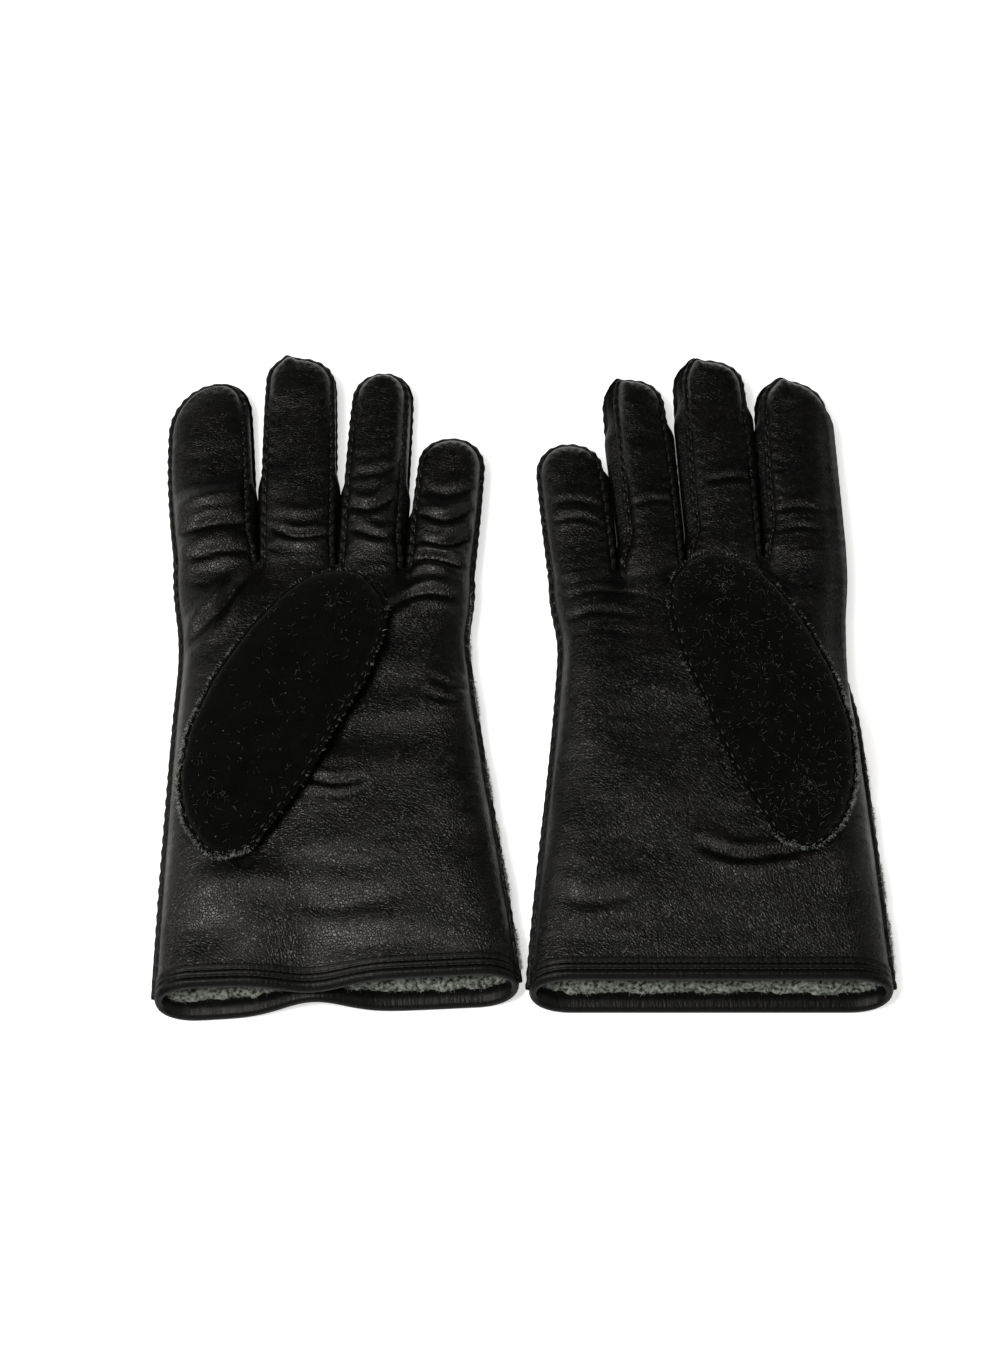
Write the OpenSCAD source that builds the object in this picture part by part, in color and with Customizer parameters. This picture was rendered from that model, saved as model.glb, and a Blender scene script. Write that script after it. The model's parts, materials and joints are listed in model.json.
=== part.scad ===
// A pair of lined, hand-sewn leather gloves, lying palm up with the thumbs folded over the palms.
// Millimetres. +X to the right glove, +Y to the fingertips, +Z up, the table at z = 0.
// Each glove is written once, as a left glove in its own frame: the origin is the middle of the
// cuff's edge on the table, and the thumb is on the -X side. The right glove is its mirror image.

/* [Leather and lining] */
// Thickness of the leather panels
leather_t = 1.2; // [0.8:0.1:1.6]
// Thickness of the fleece lining, as it lies pressed
lining_t = 2.6; // [1.8:0.1:3]

/* [Hand] */
// Width of the glove at the cuff's edge, laid flat
cuff_w = 126; // [110:1:150]
// Width half way up the forearm part
gauntlet_w = 120; // [105:1:142]
// Width at the wrist, beside the thumb
wrist_w = 106; // [95:0.5:128]
// Height of the glove at the cuff
cuff_h = 17; // [14:0.5:21]
// Height of the glove over the palm
palm_h = 18; // [15:0.5:22]
// How much further the back of the cuff reaches than the palm side, as the glove lies
cuff_slant = 4; // [0:0.5:8]
// Length from the cuff's edge to the knuckle line, at the glove's middle
hand_len = 163.5; // [145:0.5:196]

/* [Fingers] */
// Length of the index finger from the knuckle line
index_len = 78; // [65:1:94]
// Length of the middle finger
middle_len = 91; // [76:1:110]
// Length of the ring finger
ring_len = 85; // [71:1:102]
// Length of the little finger
pinky_len = 58.5; // [49:0.5:70]
// Width of the index finger, laid flat
index_w = 31.5; // [26:0.5:34]
// Width of the middle finger
middle_w = 28; // [23:0.5:30]
// Width of the ring finger
ring_w = 24; // [20:0.5:26]
// Width of the little finger
pinky_w = 25.5; // [21:0.5:28]
// Height of a finger at the knuckle line
finger_h = 15.5; // [13:0.5:18]
// Height of a finger where its tip begins to round
tip_h = 14; // [12:0.5:16]

/* [Thumb] */
// Length of the thumb piece from its root point to its tip
thumb_len = 121; // [105:1:140]
// Greatest width of the thumb piece
thumb_w = 49; // [42:1:58]
// Height of the thumb
thumb_h = 13.5; // [11.5:0.5:16]
// Distance from the root point to the thumb's hinge line
thumb_bend = 48; // [42:1:56]
// Radius of the round ends of the hole that the thumb is sewn round
thumb_hole_r = 12; // [9:0.5:13]

/* [Cuff binding] */
// Thickness of the binding strip
binding_t = 0.9; // [0.6:0.1:1.2]
// How far the strip reaches up the outside
binding_out = 7; // [5:0.5:10]
// How far the strip reaches up the inside
binding_in = 8; // [6:0.5:12]

/* [Placing] */
// Turn of the left glove, anticlockwise from above
left_turn = 2.8; // [0:0.2:5]
// Turn of the right glove
right_turn = 0; // [-3:0.2:3]
// Distance between the middles of the two cuffs
pair_pitch = 128.5; // [128:0.5:160]

/* [Clearances] */
// Gap between two bodies at a hinge line
hinge_gap = 0.3; // [0.2:0.05:0.6]
// Gap between two fingers where they leave the hand
finger_gap = 1.1; // [0.8:0.1:2]
// Gap between pieces that are glued or sewn face to face
glue_gap = 0.1; // [0.05:0.05:0.2]
// Gap between the folded thumb and the palm under it
thumb_gap = 0.3; // [0.2:0.05:0.8]

/* [Hidden] */
corner_steps = 2;
hand_corner_steps = 3;
fourchette_r = 4;
knuckle_slope = 0.11;
knuckle_turn = atan(knuckle_slope);
far = 400;
skirt = 8;
slant_to = 28;
overlap = 0.5;
thinnest = 1;
binding_end = binding_t + 0.7;
cuff_lift = binding_t;

// Finger order: index, middle, ring, pinky.
FINGERS = ["index", "middle", "ring", "pinky"];
finger_ws = [index_w, middle_w, ring_w, pinky_w];
finger_lens = [index_len, middle_len, ring_len, pinky_len];
knuckle_w = index_w + middle_w + ring_w + pinky_w + 3 * finger_gap;
knuckle_x = -1.7;
function finger_left(i) =
    i == 0 ? knuckle_x - knuckle_w / 2 : finger_left(i - 1) + finger_ws[i - 1] + finger_gap;
function finger_x(i) = finger_left(i) + finger_ws[i] / 2;
function knuckle_y(x) = hand_len - knuckle_slope * x;

// What differs between the two gloves: their turn, and how the fingers and the thumb lean.
SIDES = ["left", "right"];
function turn_of(side) = side == "left" ? left_turn : right_turn;
function finger_leans(side) = side == "left" ? [-1.5, 1.5, 5, 7.5] : [0.5, 2, 4, 5.5];
function thumb_lean(side) = side == "left" ? 26 : 16.5;
function thumb_root_at(side) = side == "left" ? [-37.5, 43] : [-32, 44];
function cuff_place(side) = [(side == "left" ? -0.5 : 0.5) * pair_pitch + 3.5, side == "left" ? -124 : -123.5];

// The hand's outline and section, as functions of the distance from the cuff's edge.
function hand_w(y) =
    lookup(y, [[0, cuff_w], [52, gauntlet_w], [130, wrist_w], [hand_len, knuckle_w], [hand_len + 30, knuckle_w + 4]]);
function hand_x(y) = lookup(y, [[0, 0], [52, -1], [97, -2], [130, -2], [hand_len, knuckle_x]]);
function hand_h(y) =
    lookup(y, [[0, cuff_h], [12, cuff_h], [40, palm_h], [120, palm_h], [hand_len - 8, finger_h], [hand_len + 40, finger_h]]);
function hand_low(y) = lookup(y, [[0, cuff_lift], [12, cuff_lift], [40, 0]]);
hand_ys = [16, slant_to, 40, 70, 97, 125, 145, hand_len - 8, hand_len + 14];

// A station of a loft is [y, x, low, width, height, corner radius, slant], where the slant is how
// much further towards the cuff the station's foot stands than its top.
function slant(y) = lookup(y, [[0, cuff_slant], [slant_to, 0]]);
function hand_station(y, inset) =
    let (h = hand_h(y) - 2 * inset, w = hand_w(y) - 2 * inset)
    [y, hand_x(y), hand_low(y) + inset, w, h, h * 0.46, slant(y)];
function hand_stations(inset, from = 0, reach = 0) = [for (y = concat([from - reach], hand_ys)) hand_station(y, inset)];
function cuff_stations(inset, from, to) = [for (y = [from, to]) hand_station(y, inset)];

function finger_stations(i, inset, reach = 0) =
    let (w = finger_ws[i] - 2 * inset, tip_r = w * 0.46, end = finger_lens[i] - inset - tip_r,
         base_h = finger_h - 2 * inset, end_h = tip_h - 2 * inset, r = max(fourchette_r - inset, 0.8))
    concat(
        [[-skirt - reach, 0, inset, w, base_h, r, 0], [end, 0, inset, w, end_h, r, 0]],
        [for (a = [30, 52, 70, 84])
            let (h = end_h * (0.45 + 0.55 * cos(a)), tw = w * pow(cos(a), 0.8))
            [end + tip_r * sin(a), 0, inset + (end_h - h) * 0.5, tw, h, min(r, h * 0.45, tw * 0.45), 0]]);

// Thumb stations: [share of the length, sideways offset, share of the width, share of the height].
thumb_shape = [
    [0, -4, 0.26, 0.55], [0.06, -6, 0.5, 0.78], [0.16, -8.5, 0.76, 1], [0.32, -9.5, 0.96, 1], [0.5, -9.5, 1, 1],
    [0.69, -7, 0.98, 1], [0.84, -5, 0.82, 1], [0.94, -4, 0.56, 0.88], [1, -4, 0.26, 0.6]];
thumb_low = palm_h + thumb_gap;
thumb_hole_ys = [thumb_bend - 27, thumb_bend - 15];
function thumb_stations(inset, drop = 0) =
    [for (s = thumb_shape)
        let (h = max(thumb_h * s[3] - 2 * inset, thinnest), w = max(thumb_w * s[2] - 2 * inset, thinnest),
             y = inset + s[0] * (thumb_len - 2 * inset), mid = thumb_low + thumb_h * (0.4 + 0.1 * s[3]))
        [y, s[1], mid - h / 2 - drop, w, h + drop, min(h, w) * 0.46, 0]];

// Loft through rounded rectangles that stand across Y.
function corner_ring(w, h, r, steps) =
    [for (c = [0:3], k = [0:steps])
        let (a = 90 * (c + k / steps), sx = (c == 0 || c == 3) ? 1 : -1, sz = c < 2 ? 1 : -1)
        [sx * (w / 2 - r) + r * cos(a), sz * (h / 2 - r) + r * sin(a)]];
function station_ring(s, steps) =
    [for (p = corner_ring(s[3], s[4], s[5], steps))
        let (z = s[2] + s[4] / 2 + p[1])
        [s[1] + p[0], s[0] - s[6] * (1 - z / cuff_h), z]];
module loft(stations, steps = corner_steps) {
    m = 4 * (steps + 1);
    n = len(stations);
    polyhedron(
        points = [for (s = stations, p = station_ring(s, steps)) p],
        faces = concat(
            [[for (i = [m - 1:-1:0]) i]],
            [for (j = [0:n - 2], i = [0:m - 1])
                [j * m + i, j * m + (i + 1) % m, (j + 1) * m + (i + 1) % m, (j + 1) * m + i]],
            [[for (i = [0:m - 1]) (n - 1) * m + i]]));
}

// Half spaces.
module above(z) translate([-far / 2, -far / 2, z]) cube([far, far, far]);
module below(z) translate([-far / 2, -far / 2, z - far]) cube([far, far, far]);
module slab(from, to) translate([-far / 2, -far / 2, from]) cube([far, far, to - from]);
module right_half() translate([0, -far / 2, -far / 2]) cube([far, far, far]);
module left_half() translate([-far, -far / 2, -far / 2]) cube([far, far, far]);
module ahead_of(gap) translate([-far / 2, gap, -far / 2]) cube([far, far, far]);
module behind_of(gap) translate([-far / 2, -far - gap, -far / 2]) cube([far, far, far]);
module at_knuckles() translate([0, hand_len, 0]) rotate([0, 0, -knuckle_turn]) children();

// Puts a left glove's piece in its place in the pair, mirrored for the right glove.
module place(side) {
    translate([cuff_place(side).x, cuff_place(side).y, 0])
        rotate([0, 0, turn_of(side)])
            mirror([side == "right" ? 1 : 0, 0, 0]) children();
}

// ---- The hand ----
module hand_wall(outer, inner, from = 0) {
    difference() {
        loft(hand_stations(outer, from), hand_corner_steps);
        loft(hand_stations(inner, from, overlap), hand_corner_steps);
        at_knuckles() ahead_of(-hinge_gap / 2);
    }
}
module thumb_frame(side) translate(thumb_root_at(side)) rotate([0, 0, -thumb_lean(side)]) children();
module thumb_hole(side, grow = 0) {
    r = thumb_hole_r + grow;
    thumb_frame(side) translate([-9, 0, palm_h / 2]) {
        for (y = thumb_hole_ys) translate([0, y, 0]) cylinder(h = palm_h, r = r, $fn = 32);
        translate([-r, thumb_hole_ys[0], 0]) cube([2 * r, thumb_hole_ys[1] - thumb_hole_ys[0], palm_h]);
    }
}
seam_z = cuff_lift + cuff_h / 2;
module palm_panel(side) {
    color("#15140f") difference() {
        hand_wall(0, leather_t);
        below(seam_z);
        thumb_hole(side);
    }
}
module back_panel(side) {
    color("#1b1a19") difference() {
        hand_wall(0, leather_t);
        above(seam_z);
    }
}
lining_from = leather_t + glue_gap;
lining_to = lining_from + lining_t;
module palm_lining(side) {
    color("#c9ccc6") difference() {
        hand_wall(lining_from, lining_to, binding_in + glue_gap);
        below(seam_z);
        thumb_hole(side, -0.4);
    }
}
module back_lining(side) {
    color("#c9ccc6") difference() {
        hand_wall(lining_from, lining_to, binding_in + glue_gap);
        above(seam_z);
    }
}
module cuff_band(outer, inner, from, to) {
    difference() {
        loft(cuff_stations(outer, from, to), hand_corner_steps);
        loft(cuff_stations(inner, from - overlap, to + overlap), hand_corner_steps);
    }
}
module cuff_binding(side) {
    color("#0c0c0c") union() {
        cuff_band(-binding_t, lining_from + binding_t, -binding_end, -glue_gap);
        cuff_band(-binding_t, -glue_gap / 2, -overlap, binding_out);
        cuff_band(leather_t + glue_gap / 2, lining_from + binding_t, -overlap, binding_in);
    }
}

// ---- The thumb: its root stays with the hand, and the rest turns about the bend ----
module thumb_wall(outer, inner) {
    difference() {
        loft(thumb_stations(outer));
        loft(thumb_stations(inner));
    }
}
module thumb_dome(outer, inner) {
    difference() {
        loft(thumb_stations(outer, outer + overlap));
        loft(thumb_stations(inner, thumb_h));
        translate([0, thumb_bend, 0]) ahead_of(-hinge_gap / 2);
        below(thumb_low);
    }
}
thumb_seam_z = thumb_low + thumb_h * 0.5;
module thumb_root(side) {
    color("#191917") thumb_frame(side) thumb_dome(0, leather_t);
}
module thumb_root_lining(side) {
    color("#c9ccc6") thumb_frame(side) thumb_dome(lining_from, lining_to);
}
module thumb_beyond_bend() {
    difference() {
        children();
        translate([0, thumb_bend, 0]) behind_of(-hinge_gap / 2);
    }
}
module thumb_back(side) {
    color("#191917") thumb_frame(side) thumb_beyond_bend() difference() {
        thumb_wall(0, leather_t);
        below(thumb_seam_z);
    }
}
module thumb_front(side) {
    color("#15140f") thumb_frame(side) thumb_beyond_bend() difference() {
        thumb_wall(0, leather_t);
        above(thumb_seam_z);
    }
}
module thumb_lining(side) {
    color("#c9ccc6") thumb_frame(side) thumb_beyond_bend() thumb_wall(lining_from, lining_to);
}

// ---- The fingers ----
module finger_frame(side, i) {
    translate([finger_x(i), knuckle_y(finger_x(i)), 0]) rotate([0, 0, -finger_leans(side)[i]]) children();
}
module beyond_knuckles() {
    difference() {
        children();
        at_knuckles() behind_of(-hinge_gap / 2);
    }
}
module finger_wall(i, outer, inner) {
    difference() {
        loft(finger_stations(i, outer));
        loft(finger_stations(i, inner, overlap));
    }
}
edge_z = leather_t + lining_t;
finger_seam_z = finger_h / 2;
// The outer side of the index and the little finger has one seam at mid height, and no side strip.
module outer_side(i) {
    intersection() {
        if (i == 0) left_half(); else right_half();
        children();
    }
}
module palm_side_region(i) {
    above(tip_h - edge_z);
    if (i == 0 || i == 3) outer_side(i) above(finger_seam_z);
}
module back_side_region(i) {
    below(edge_z);
    if (i == 0 || i == 3) outer_side(i) below(finger_seam_z);
}
module finger_palm_side(side, i) {
    color("#15140f") beyond_knuckles() finger_frame(side, i) intersection() {
        finger_wall(i, 0, leather_t);
        palm_side_region(i);
    }
}
module finger_back_side(side, i) {
    color("#1b1a19") beyond_knuckles() finger_frame(side, i) intersection() {
        finger_wall(i, 0, leather_t);
        back_side_region(i);
    }
}
// One side strip, on the thumb's side (-X) or the little finger's side (+X) of a finger.
module fourchette(side, i, right) {
    color("#111111") beyond_knuckles() finger_frame(side, i) intersection() {
        finger_wall(i, 0, leather_t);
        slab(edge_z, tip_h - edge_z);
        if (right) right_half(); else left_half();
    }
}
module finger_lining(side, i) {
    color("#c9ccc6") beyond_knuckles() finger_frame(side, i) finger_wall(i, lining_from, lining_to);
}

// Side strips: [finger, on its +X side, name].
STRIPS = [
    [0, true, "index_fourchette_to_middle"],
    [1, false, "middle_fourchette_to_index"],
    [1, true, "middle_fourchette_to_ring"],
    [2, false, "ring_fourchette_to_middle"],
    [2, true, "ring_fourchette_to_pinky"],
    [3, false, "pinky_fourchette_to_ring"]];

HAND_PIECES = ["palm_panel", "back_panel", "palm_lining", "back_lining", "cuff_binding",
    "thumb_root", "thumb_root_lining", "thumb_back", "thumb_front", "thumb_lining"];
NODES = [for (side = SIDES)
    each concat(
        [for (p = HAND_PIECES) str(side, "_", p)],
        [for (f = FINGERS, p = ["palm_side", "back_side", "lining"]) str(side, "_", f, "_", p)],
        [for (s = STRIPS) str(side, "_", s[2])])];
node = "all";
function picked(side, piece) = node == "all" || node == str(side, "_", piece);

for (side = SIDES) {
    if (picked(side, "palm_panel")) place(side) palm_panel(side);
    if (picked(side, "back_panel")) place(side) back_panel(side);
    if (picked(side, "palm_lining")) place(side) palm_lining(side);
    if (picked(side, "back_lining")) place(side) back_lining(side);
    if (picked(side, "cuff_binding")) place(side) cuff_binding(side);
    if (picked(side, "thumb_root")) place(side) thumb_root(side);
    if (picked(side, "thumb_root_lining")) place(side) thumb_root_lining(side);
    if (picked(side, "thumb_back")) place(side) thumb_back(side);
    if (picked(side, "thumb_front")) place(side) thumb_front(side);
    if (picked(side, "thumb_lining")) place(side) thumb_lining(side);
    for (i = [0:3]) {
        if (picked(side, str(FINGERS[i], "_palm_side"))) place(side) finger_palm_side(side, i);
        if (picked(side, str(FINGERS[i], "_back_side"))) place(side) finger_back_side(side, i);
        if (picked(side, str(FINGERS[i], "_lining"))) place(side) finger_lining(side, i);
    }
    for (s = STRIPS)
        if (picked(side, s[2])) place(side) fourchette(side, s[0], s[1]);
}
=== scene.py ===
"""A pair of black hand-sewn leather gloves with suede thumb backs and a fleece lining.

The gloves lie palm up, side by side, with each thumb folded over its palm. Each glove is worked out
once as a left glove in its own frame, in millimetres: the origin is the middle of the cuff's edge on
the table, +Y runs to the fingertips and the thumb is on the -X side. The right glove is its mirror
image. A panel's outline and height are worked out from the sewing pattern, as a glover would cut it.
"""
import json
import logging
import math
from dataclasses import dataclass
from enum import Enum

import bpy
import numpy as np
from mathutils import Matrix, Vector


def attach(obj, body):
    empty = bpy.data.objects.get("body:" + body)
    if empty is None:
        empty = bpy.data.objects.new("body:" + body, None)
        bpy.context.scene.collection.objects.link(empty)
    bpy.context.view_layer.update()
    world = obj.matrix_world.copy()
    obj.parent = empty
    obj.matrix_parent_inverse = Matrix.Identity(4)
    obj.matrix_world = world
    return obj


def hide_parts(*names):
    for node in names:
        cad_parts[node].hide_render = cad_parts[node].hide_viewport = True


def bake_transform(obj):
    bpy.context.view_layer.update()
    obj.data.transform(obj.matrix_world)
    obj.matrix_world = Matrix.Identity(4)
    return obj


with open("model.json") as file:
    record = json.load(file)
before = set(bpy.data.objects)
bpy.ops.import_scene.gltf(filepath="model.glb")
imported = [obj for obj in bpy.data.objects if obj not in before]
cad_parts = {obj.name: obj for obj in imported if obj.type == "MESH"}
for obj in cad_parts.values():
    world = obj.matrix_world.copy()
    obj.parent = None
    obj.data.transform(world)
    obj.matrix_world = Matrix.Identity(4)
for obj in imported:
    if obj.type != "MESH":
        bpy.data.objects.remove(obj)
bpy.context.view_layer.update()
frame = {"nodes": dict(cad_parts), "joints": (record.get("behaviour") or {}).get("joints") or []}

log = logging.getLogger("gloves")
MM = 0.001
Array = np.ndarray


class Side(Enum):
    """Which glove of the pair."""

    LEFT = "left"
    RIGHT = "right"


class Face(Enum):
    """Which face of a finger or thumb a panel makes."""

    TOP = 1
    UNDER = -1


# ---- Small helpers ----
def smooth(t: Array) -> Array:
    """Eases a share from 0 to 1."""
    t = np.clip(t, 0.0, 1.0)
    return t * t * (3.0 - 2.0 * t)


def dome(t: Array, power: float) -> Array:
    """Rises from 0 to 1 like the side of a filled tube: steep at first, then flat."""
    return (1.0 - (1.0 - np.clip(t, 0.0, 1.0)) ** power) ** (1.0 / power)


def bell(d: Array, width: float) -> Array:
    """A soft bump of the given width round 0."""
    return np.exp(-((d / width) ** 2))


def lumps(x: Array, y: Array, cell: float, seed: int) -> Array:
    """Smooth noise from -1 to 1, the same on each run.

    Args:
        x, y: Places in millimetres.
        cell: About how far apart the lumps are, in millimetres.
        seed: Which noise.
    Returns:
        The noise at each place.
    """
    count = 64
    lattice = np.random.default_rng(seed).uniform(-1.0, 1.0, (count, count))
    u, v = x / cell + 900.0, y / cell + 900.0
    i, j = np.floor(u).astype(int), np.floor(v).astype(int)
    fu, fv = smooth(u - i), smooth(v - j)
    i0, i1, j0, j1 = i % count, (i + 1) % count, j % count, (j + 1) % count
    low = lattice[i0, j0] * (1 - fu) + lattice[i1, j0] * fu
    high = lattice[i0, j1] * (1 - fu) + lattice[i1, j1] * fu
    return low * (1 - fv) + high * fv


def resample(line: Array, count: int) -> Array:
    """Evenly spaced points along a line.

    Args:
        line: Points, one a row.
        count: How many points to return.
    Returns:
        The points, with the line's own ends.
    """
    step = np.linalg.norm(np.diff(line, axis=0), axis=1)
    run = np.concatenate([[0.0], np.cumsum(step)])
    at = np.linspace(0.0, run[-1], count)
    return np.stack([np.interp(at, run, line[:, k]) for k in range(line.shape[1])], axis=1)


def unit(v: Array) -> Array:
    """Vectors at length 1."""
    return v / np.maximum(np.linalg.norm(v, axis=-1, keepdims=True), 1e-9)


def leaned(points: Array, degrees: float) -> Array:
    """Points (across, along) turned clockwise about 0."""
    c, s = math.cos(math.radians(degrees)), math.sin(math.radians(degrees))
    across, along = points[..., 0], points[..., 1]
    return np.stack([across * c + along * s, -across * s + along * c], axis=-1)


# ---- The pattern ----
@dataclass(frozen=True)
class Pattern:
    """The sizes that a glover cuts and sews to, in millimetres."""

    hand_length: float = 163.5
    knuckle_slope: float = 0.11
    knuckle_middle: float = -1.7
    finger_gap: float = 1.1
    widths: tuple = (31.5, 28.0, 24.0, 25.5)
    lengths: tuple = (78.0, 91.0, 85.0, 58.5)
    finger_height: float = 15.5
    tip_height: float = 14.0
    palm_height: float = 18.0
    cuff_height: float = 17.0
    cuff_slant: float = 4.0
    cuff_flare: float = 1.0
    seam_height: float = 8.3
    cuff_seam_height: float = 9.2
    leather: float = 0.75
    flange: float = 1.9
    stitch_pitch: float = 4.8
    stitch_length: float = 2.9
    thumb_length: float = 121.0
    thumb_width: float = 49.0
    thumb_low: float = 18.4
    thumb_high: float = 31.6
    thumb_bend: float = 48.0

    def knuckle_y(self, x: Array) -> Array:
        """How far up the hand the knuckle line is at x."""
        return self.hand_length - self.knuckle_slope * x

    def finger_left(self, index: int) -> float:
        """The -X edge of a finger at the knuckle line."""
        whole = sum(self.widths) + 3 * self.finger_gap
        return self.knuckle_middle - whole / 2 + sum(self.widths[:index]) + index * self.finger_gap

    def hand_edges(self, y: Array) -> tuple:
        """The hand's -X and +X raw edges at y."""
        spread = 8.0
        width, middle = 0.0, 0.0
        for shift in (-spread, -spread / 2, 0.0, spread / 2, spread):
            at = y + shift
            width = width + np.interp(at, [0, 52, 130, self.hand_length], [126, 118.8, 106, 112.3]) / 5
            bows = [0, -1, -2, -2, self.knuckle_middle]
            middle = middle + np.interp(at, [0, 52, 97, 130, self.hand_length], bows) / 5
        flare = self.cuff_flare * (1.0 - smooth(np.asarray(y) / 80.0))
        return middle - width / 2, middle + width / 2 + flare


PATTERN = Pattern()
FINGER_NAMES = ("index", "middle", "ring", "pinky")


@dataclass(frozen=True)
class Place:
    """Where a glove lies: it turns a left glove's own millimetres into the frame's metres."""

    mirrored: bool
    turn: float
    origin: tuple

    @staticmethod
    def of(side: Side) -> "Place":
        """Reads the place from the index finger's hinge.

        Args:
            side: Which glove.
        Returns:
            The glove's place.
        """
        joint = next(j for j in frame["joints"] if j["name"] == f"{side.value}_index_bend")
        mirrored = side is Side.RIGHT
        slope = math.atan(PATTERN.knuckle_slope) * (-1 if mirrored else 1)
        turn = math.atan2(joint["axis"][1], joint["axis"][0]) + slope
        hinge_x = PATTERN.finger_left(0) + PATTERN.widths[0] / 2
        hinge = np.array([hinge_x, PATTERN.knuckle_y(hinge_x), 0.0])
        at_zero = Place(mirrored, turn, (0.0, 0.0)).world(hinge) / MM
        pos = joint["pos_m"]
        return Place(mirrored, turn, (pos[0] / MM - at_zero[0], pos[1] / MM - at_zero[1]))

    def world(self, local: Array) -> Array:
        """Glove millimetres to frame metres."""
        x = -local[..., 0] if self.mirrored else local[..., 0]
        y = local[..., 1]
        c, s = math.cos(self.turn), math.sin(self.turn)
        turned = [self.origin[0] + x * c - y * s, self.origin[1] + x * s + y * c, local[..., 2]]
        return np.stack(turned, axis=-1) * MM


# ---- Mesh tools ----
def deselect() -> None:
    """Leaves nothing selected."""
    bpy.ops.object.select_all(action="DESELECT")


def activate(piece: bpy.types.Object) -> None:
    """Selects one piece alone."""
    deselect()
    piece.select_set(True)
    bpy.context.view_layer.objects.active = piece


def coordinates(piece: bpy.types.Object) -> Array:
    """A piece's vertices, one a row."""
    co = np.zeros(len(piece.data.vertices) * 3)
    piece.data.vertices.foreach_get("co", co)
    return co.reshape(-1, 3)


def sheet(name: str, rows: Array, place: Place, facing: Array) -> bpy.types.Object:
    """Makes a sheet of leather from a grid whose vertices are moved to their places.

    Args:
        name: The piece's name.
        rows: Glove millimetres, shape (rows, columns, 3).
        place: Where the glove lies.
        facing: Which way the outside looks, in glove millimetres: one direction or one a vertex.
    Returns:
        The new piece, smooth shaded, with coinciding vertices merged.
    """
    deselect()
    height, width = rows.shape[:2]
    bpy.ops.mesh.primitive_grid_add(x_subdivisions=width - 1, y_subdivisions=height - 1, size=1)
    piece = bpy.context.object
    piece.name = name
    piece.data.name = name
    points = place.world(rows.reshape(-1, 3))
    piece.data.vertices.foreach_set("co", points.reshape(-1))
    piece.data.update()
    normals = np.zeros(len(points) * 3)
    piece.data.vertices.foreach_get("normal", normals)
    toward = np.broadcast_to(facing, rows.shape).reshape(-1, 3)
    toward = place.world(rows.reshape(-1, 3) + toward) - points
    inside_out = float((normals.reshape(-1, 3) * unit(toward)).sum()) < 0.0
    activate(piece)
    bpy.ops.object.mode_set(mode="EDIT")
    bpy.ops.mesh.select_all(action="SELECT")
    bpy.ops.mesh.remove_doubles(threshold=0.008 * MM)
    if inside_out:
        bpy.ops.mesh.flip_normals()
    bpy.ops.object.mode_set(mode="OBJECT")
    bpy.ops.object.shade_smooth()
    return piece


def joined(name: str, parts: list) -> bpy.types.Object:
    """Joins parts to one piece of that name."""
    deselect()
    for part in parts:
        part.select_set(True)
    bpy.context.view_layer.objects.active = parts[0]
    if len(parts) > 1:
        bpy.ops.object.join()
    parts[0].name = name
    parts[0].data.name = name
    return parts[0]


def match_borders(pieces: list) -> None:
    """Gives sheets that meet edge to edge one shared normal where they meet, so no seam shows.

    Args:
        pieces: The sheets, which have equal positions along their shared borders.
    """
    totals: dict = {}
    keys = {}
    for piece in pieces:
        co = np.round(coordinates(piece) / (0.02 * MM)).astype(int)
        normals = np.zeros(len(co) * 3)
        piece.data.vertices.foreach_get("normal", normals)
        normals = normals.reshape(-1, 3)
        keys[piece.name] = [tuple(c) for c in co]
        for key, normal in zip(keys[piece.name], normals):
            entry = totals.setdefault(key, [0, np.zeros(3)])
            entry[0] += 1
            entry[1] = entry[1] + normal
    for piece in pieces:
        wanted = []
        for key in keys[piece.name]:
            count, total = totals[key]
            wanted.append(tuple(unit(total)) if count > 1 else (0.0, 0.0, 0.0))
        piece.data.normals_split_custom_set_from_vertices(wanted)


def scatter(name: str, seed_shape: tuple, centres: Array, along: Array, up: Array, scale: Array,
            place: Place) -> bpy.types.Object:
    """Copies one small shape to many places as one piece.

    Args:
        name: The piece's name.
        seed_shape: The shape's vertices (its length along X, its height along Z) and its faces.
        centres: Where the copies go, in glove millimetres.
        along: Each copy's X direction.
        up: Each copy's Z direction, about.
        scale: Each copy's size along X, Y and Z.
        place: Where the glove lies.
    Returns:
        The piece.
    """
    corners, faces = seed_shape
    along = unit(along)
    across = unit(np.cross(up, along))
    top = np.cross(along, across)
    scaled = corners[None, :, :] * scale[:, None, :]
    points = (centres[:, None, :] + scaled[..., 0:1] * along[:, None, :]
              + scaled[..., 1:2] * across[:, None, :] + scaled[..., 2:3] * top[:, None, :])
    count = len(corners)
    all_faces = []
    for copy in range(len(centres)):
        for f in faces:
            ring = [int(v) + copy * count for v in f]
            all_faces.append(ring[::-1] if place.mirrored else ring)
    mesh = bpy.data.meshes.new(name)
    mesh.from_pydata(place.world(points.reshape(-1, 3)).tolist(), [], all_faces)
    mesh.shade_smooth()
    piece = bpy.data.objects.new(name, mesh)
    bpy.context.scene.collection.objects.link(piece)
    return piece


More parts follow.
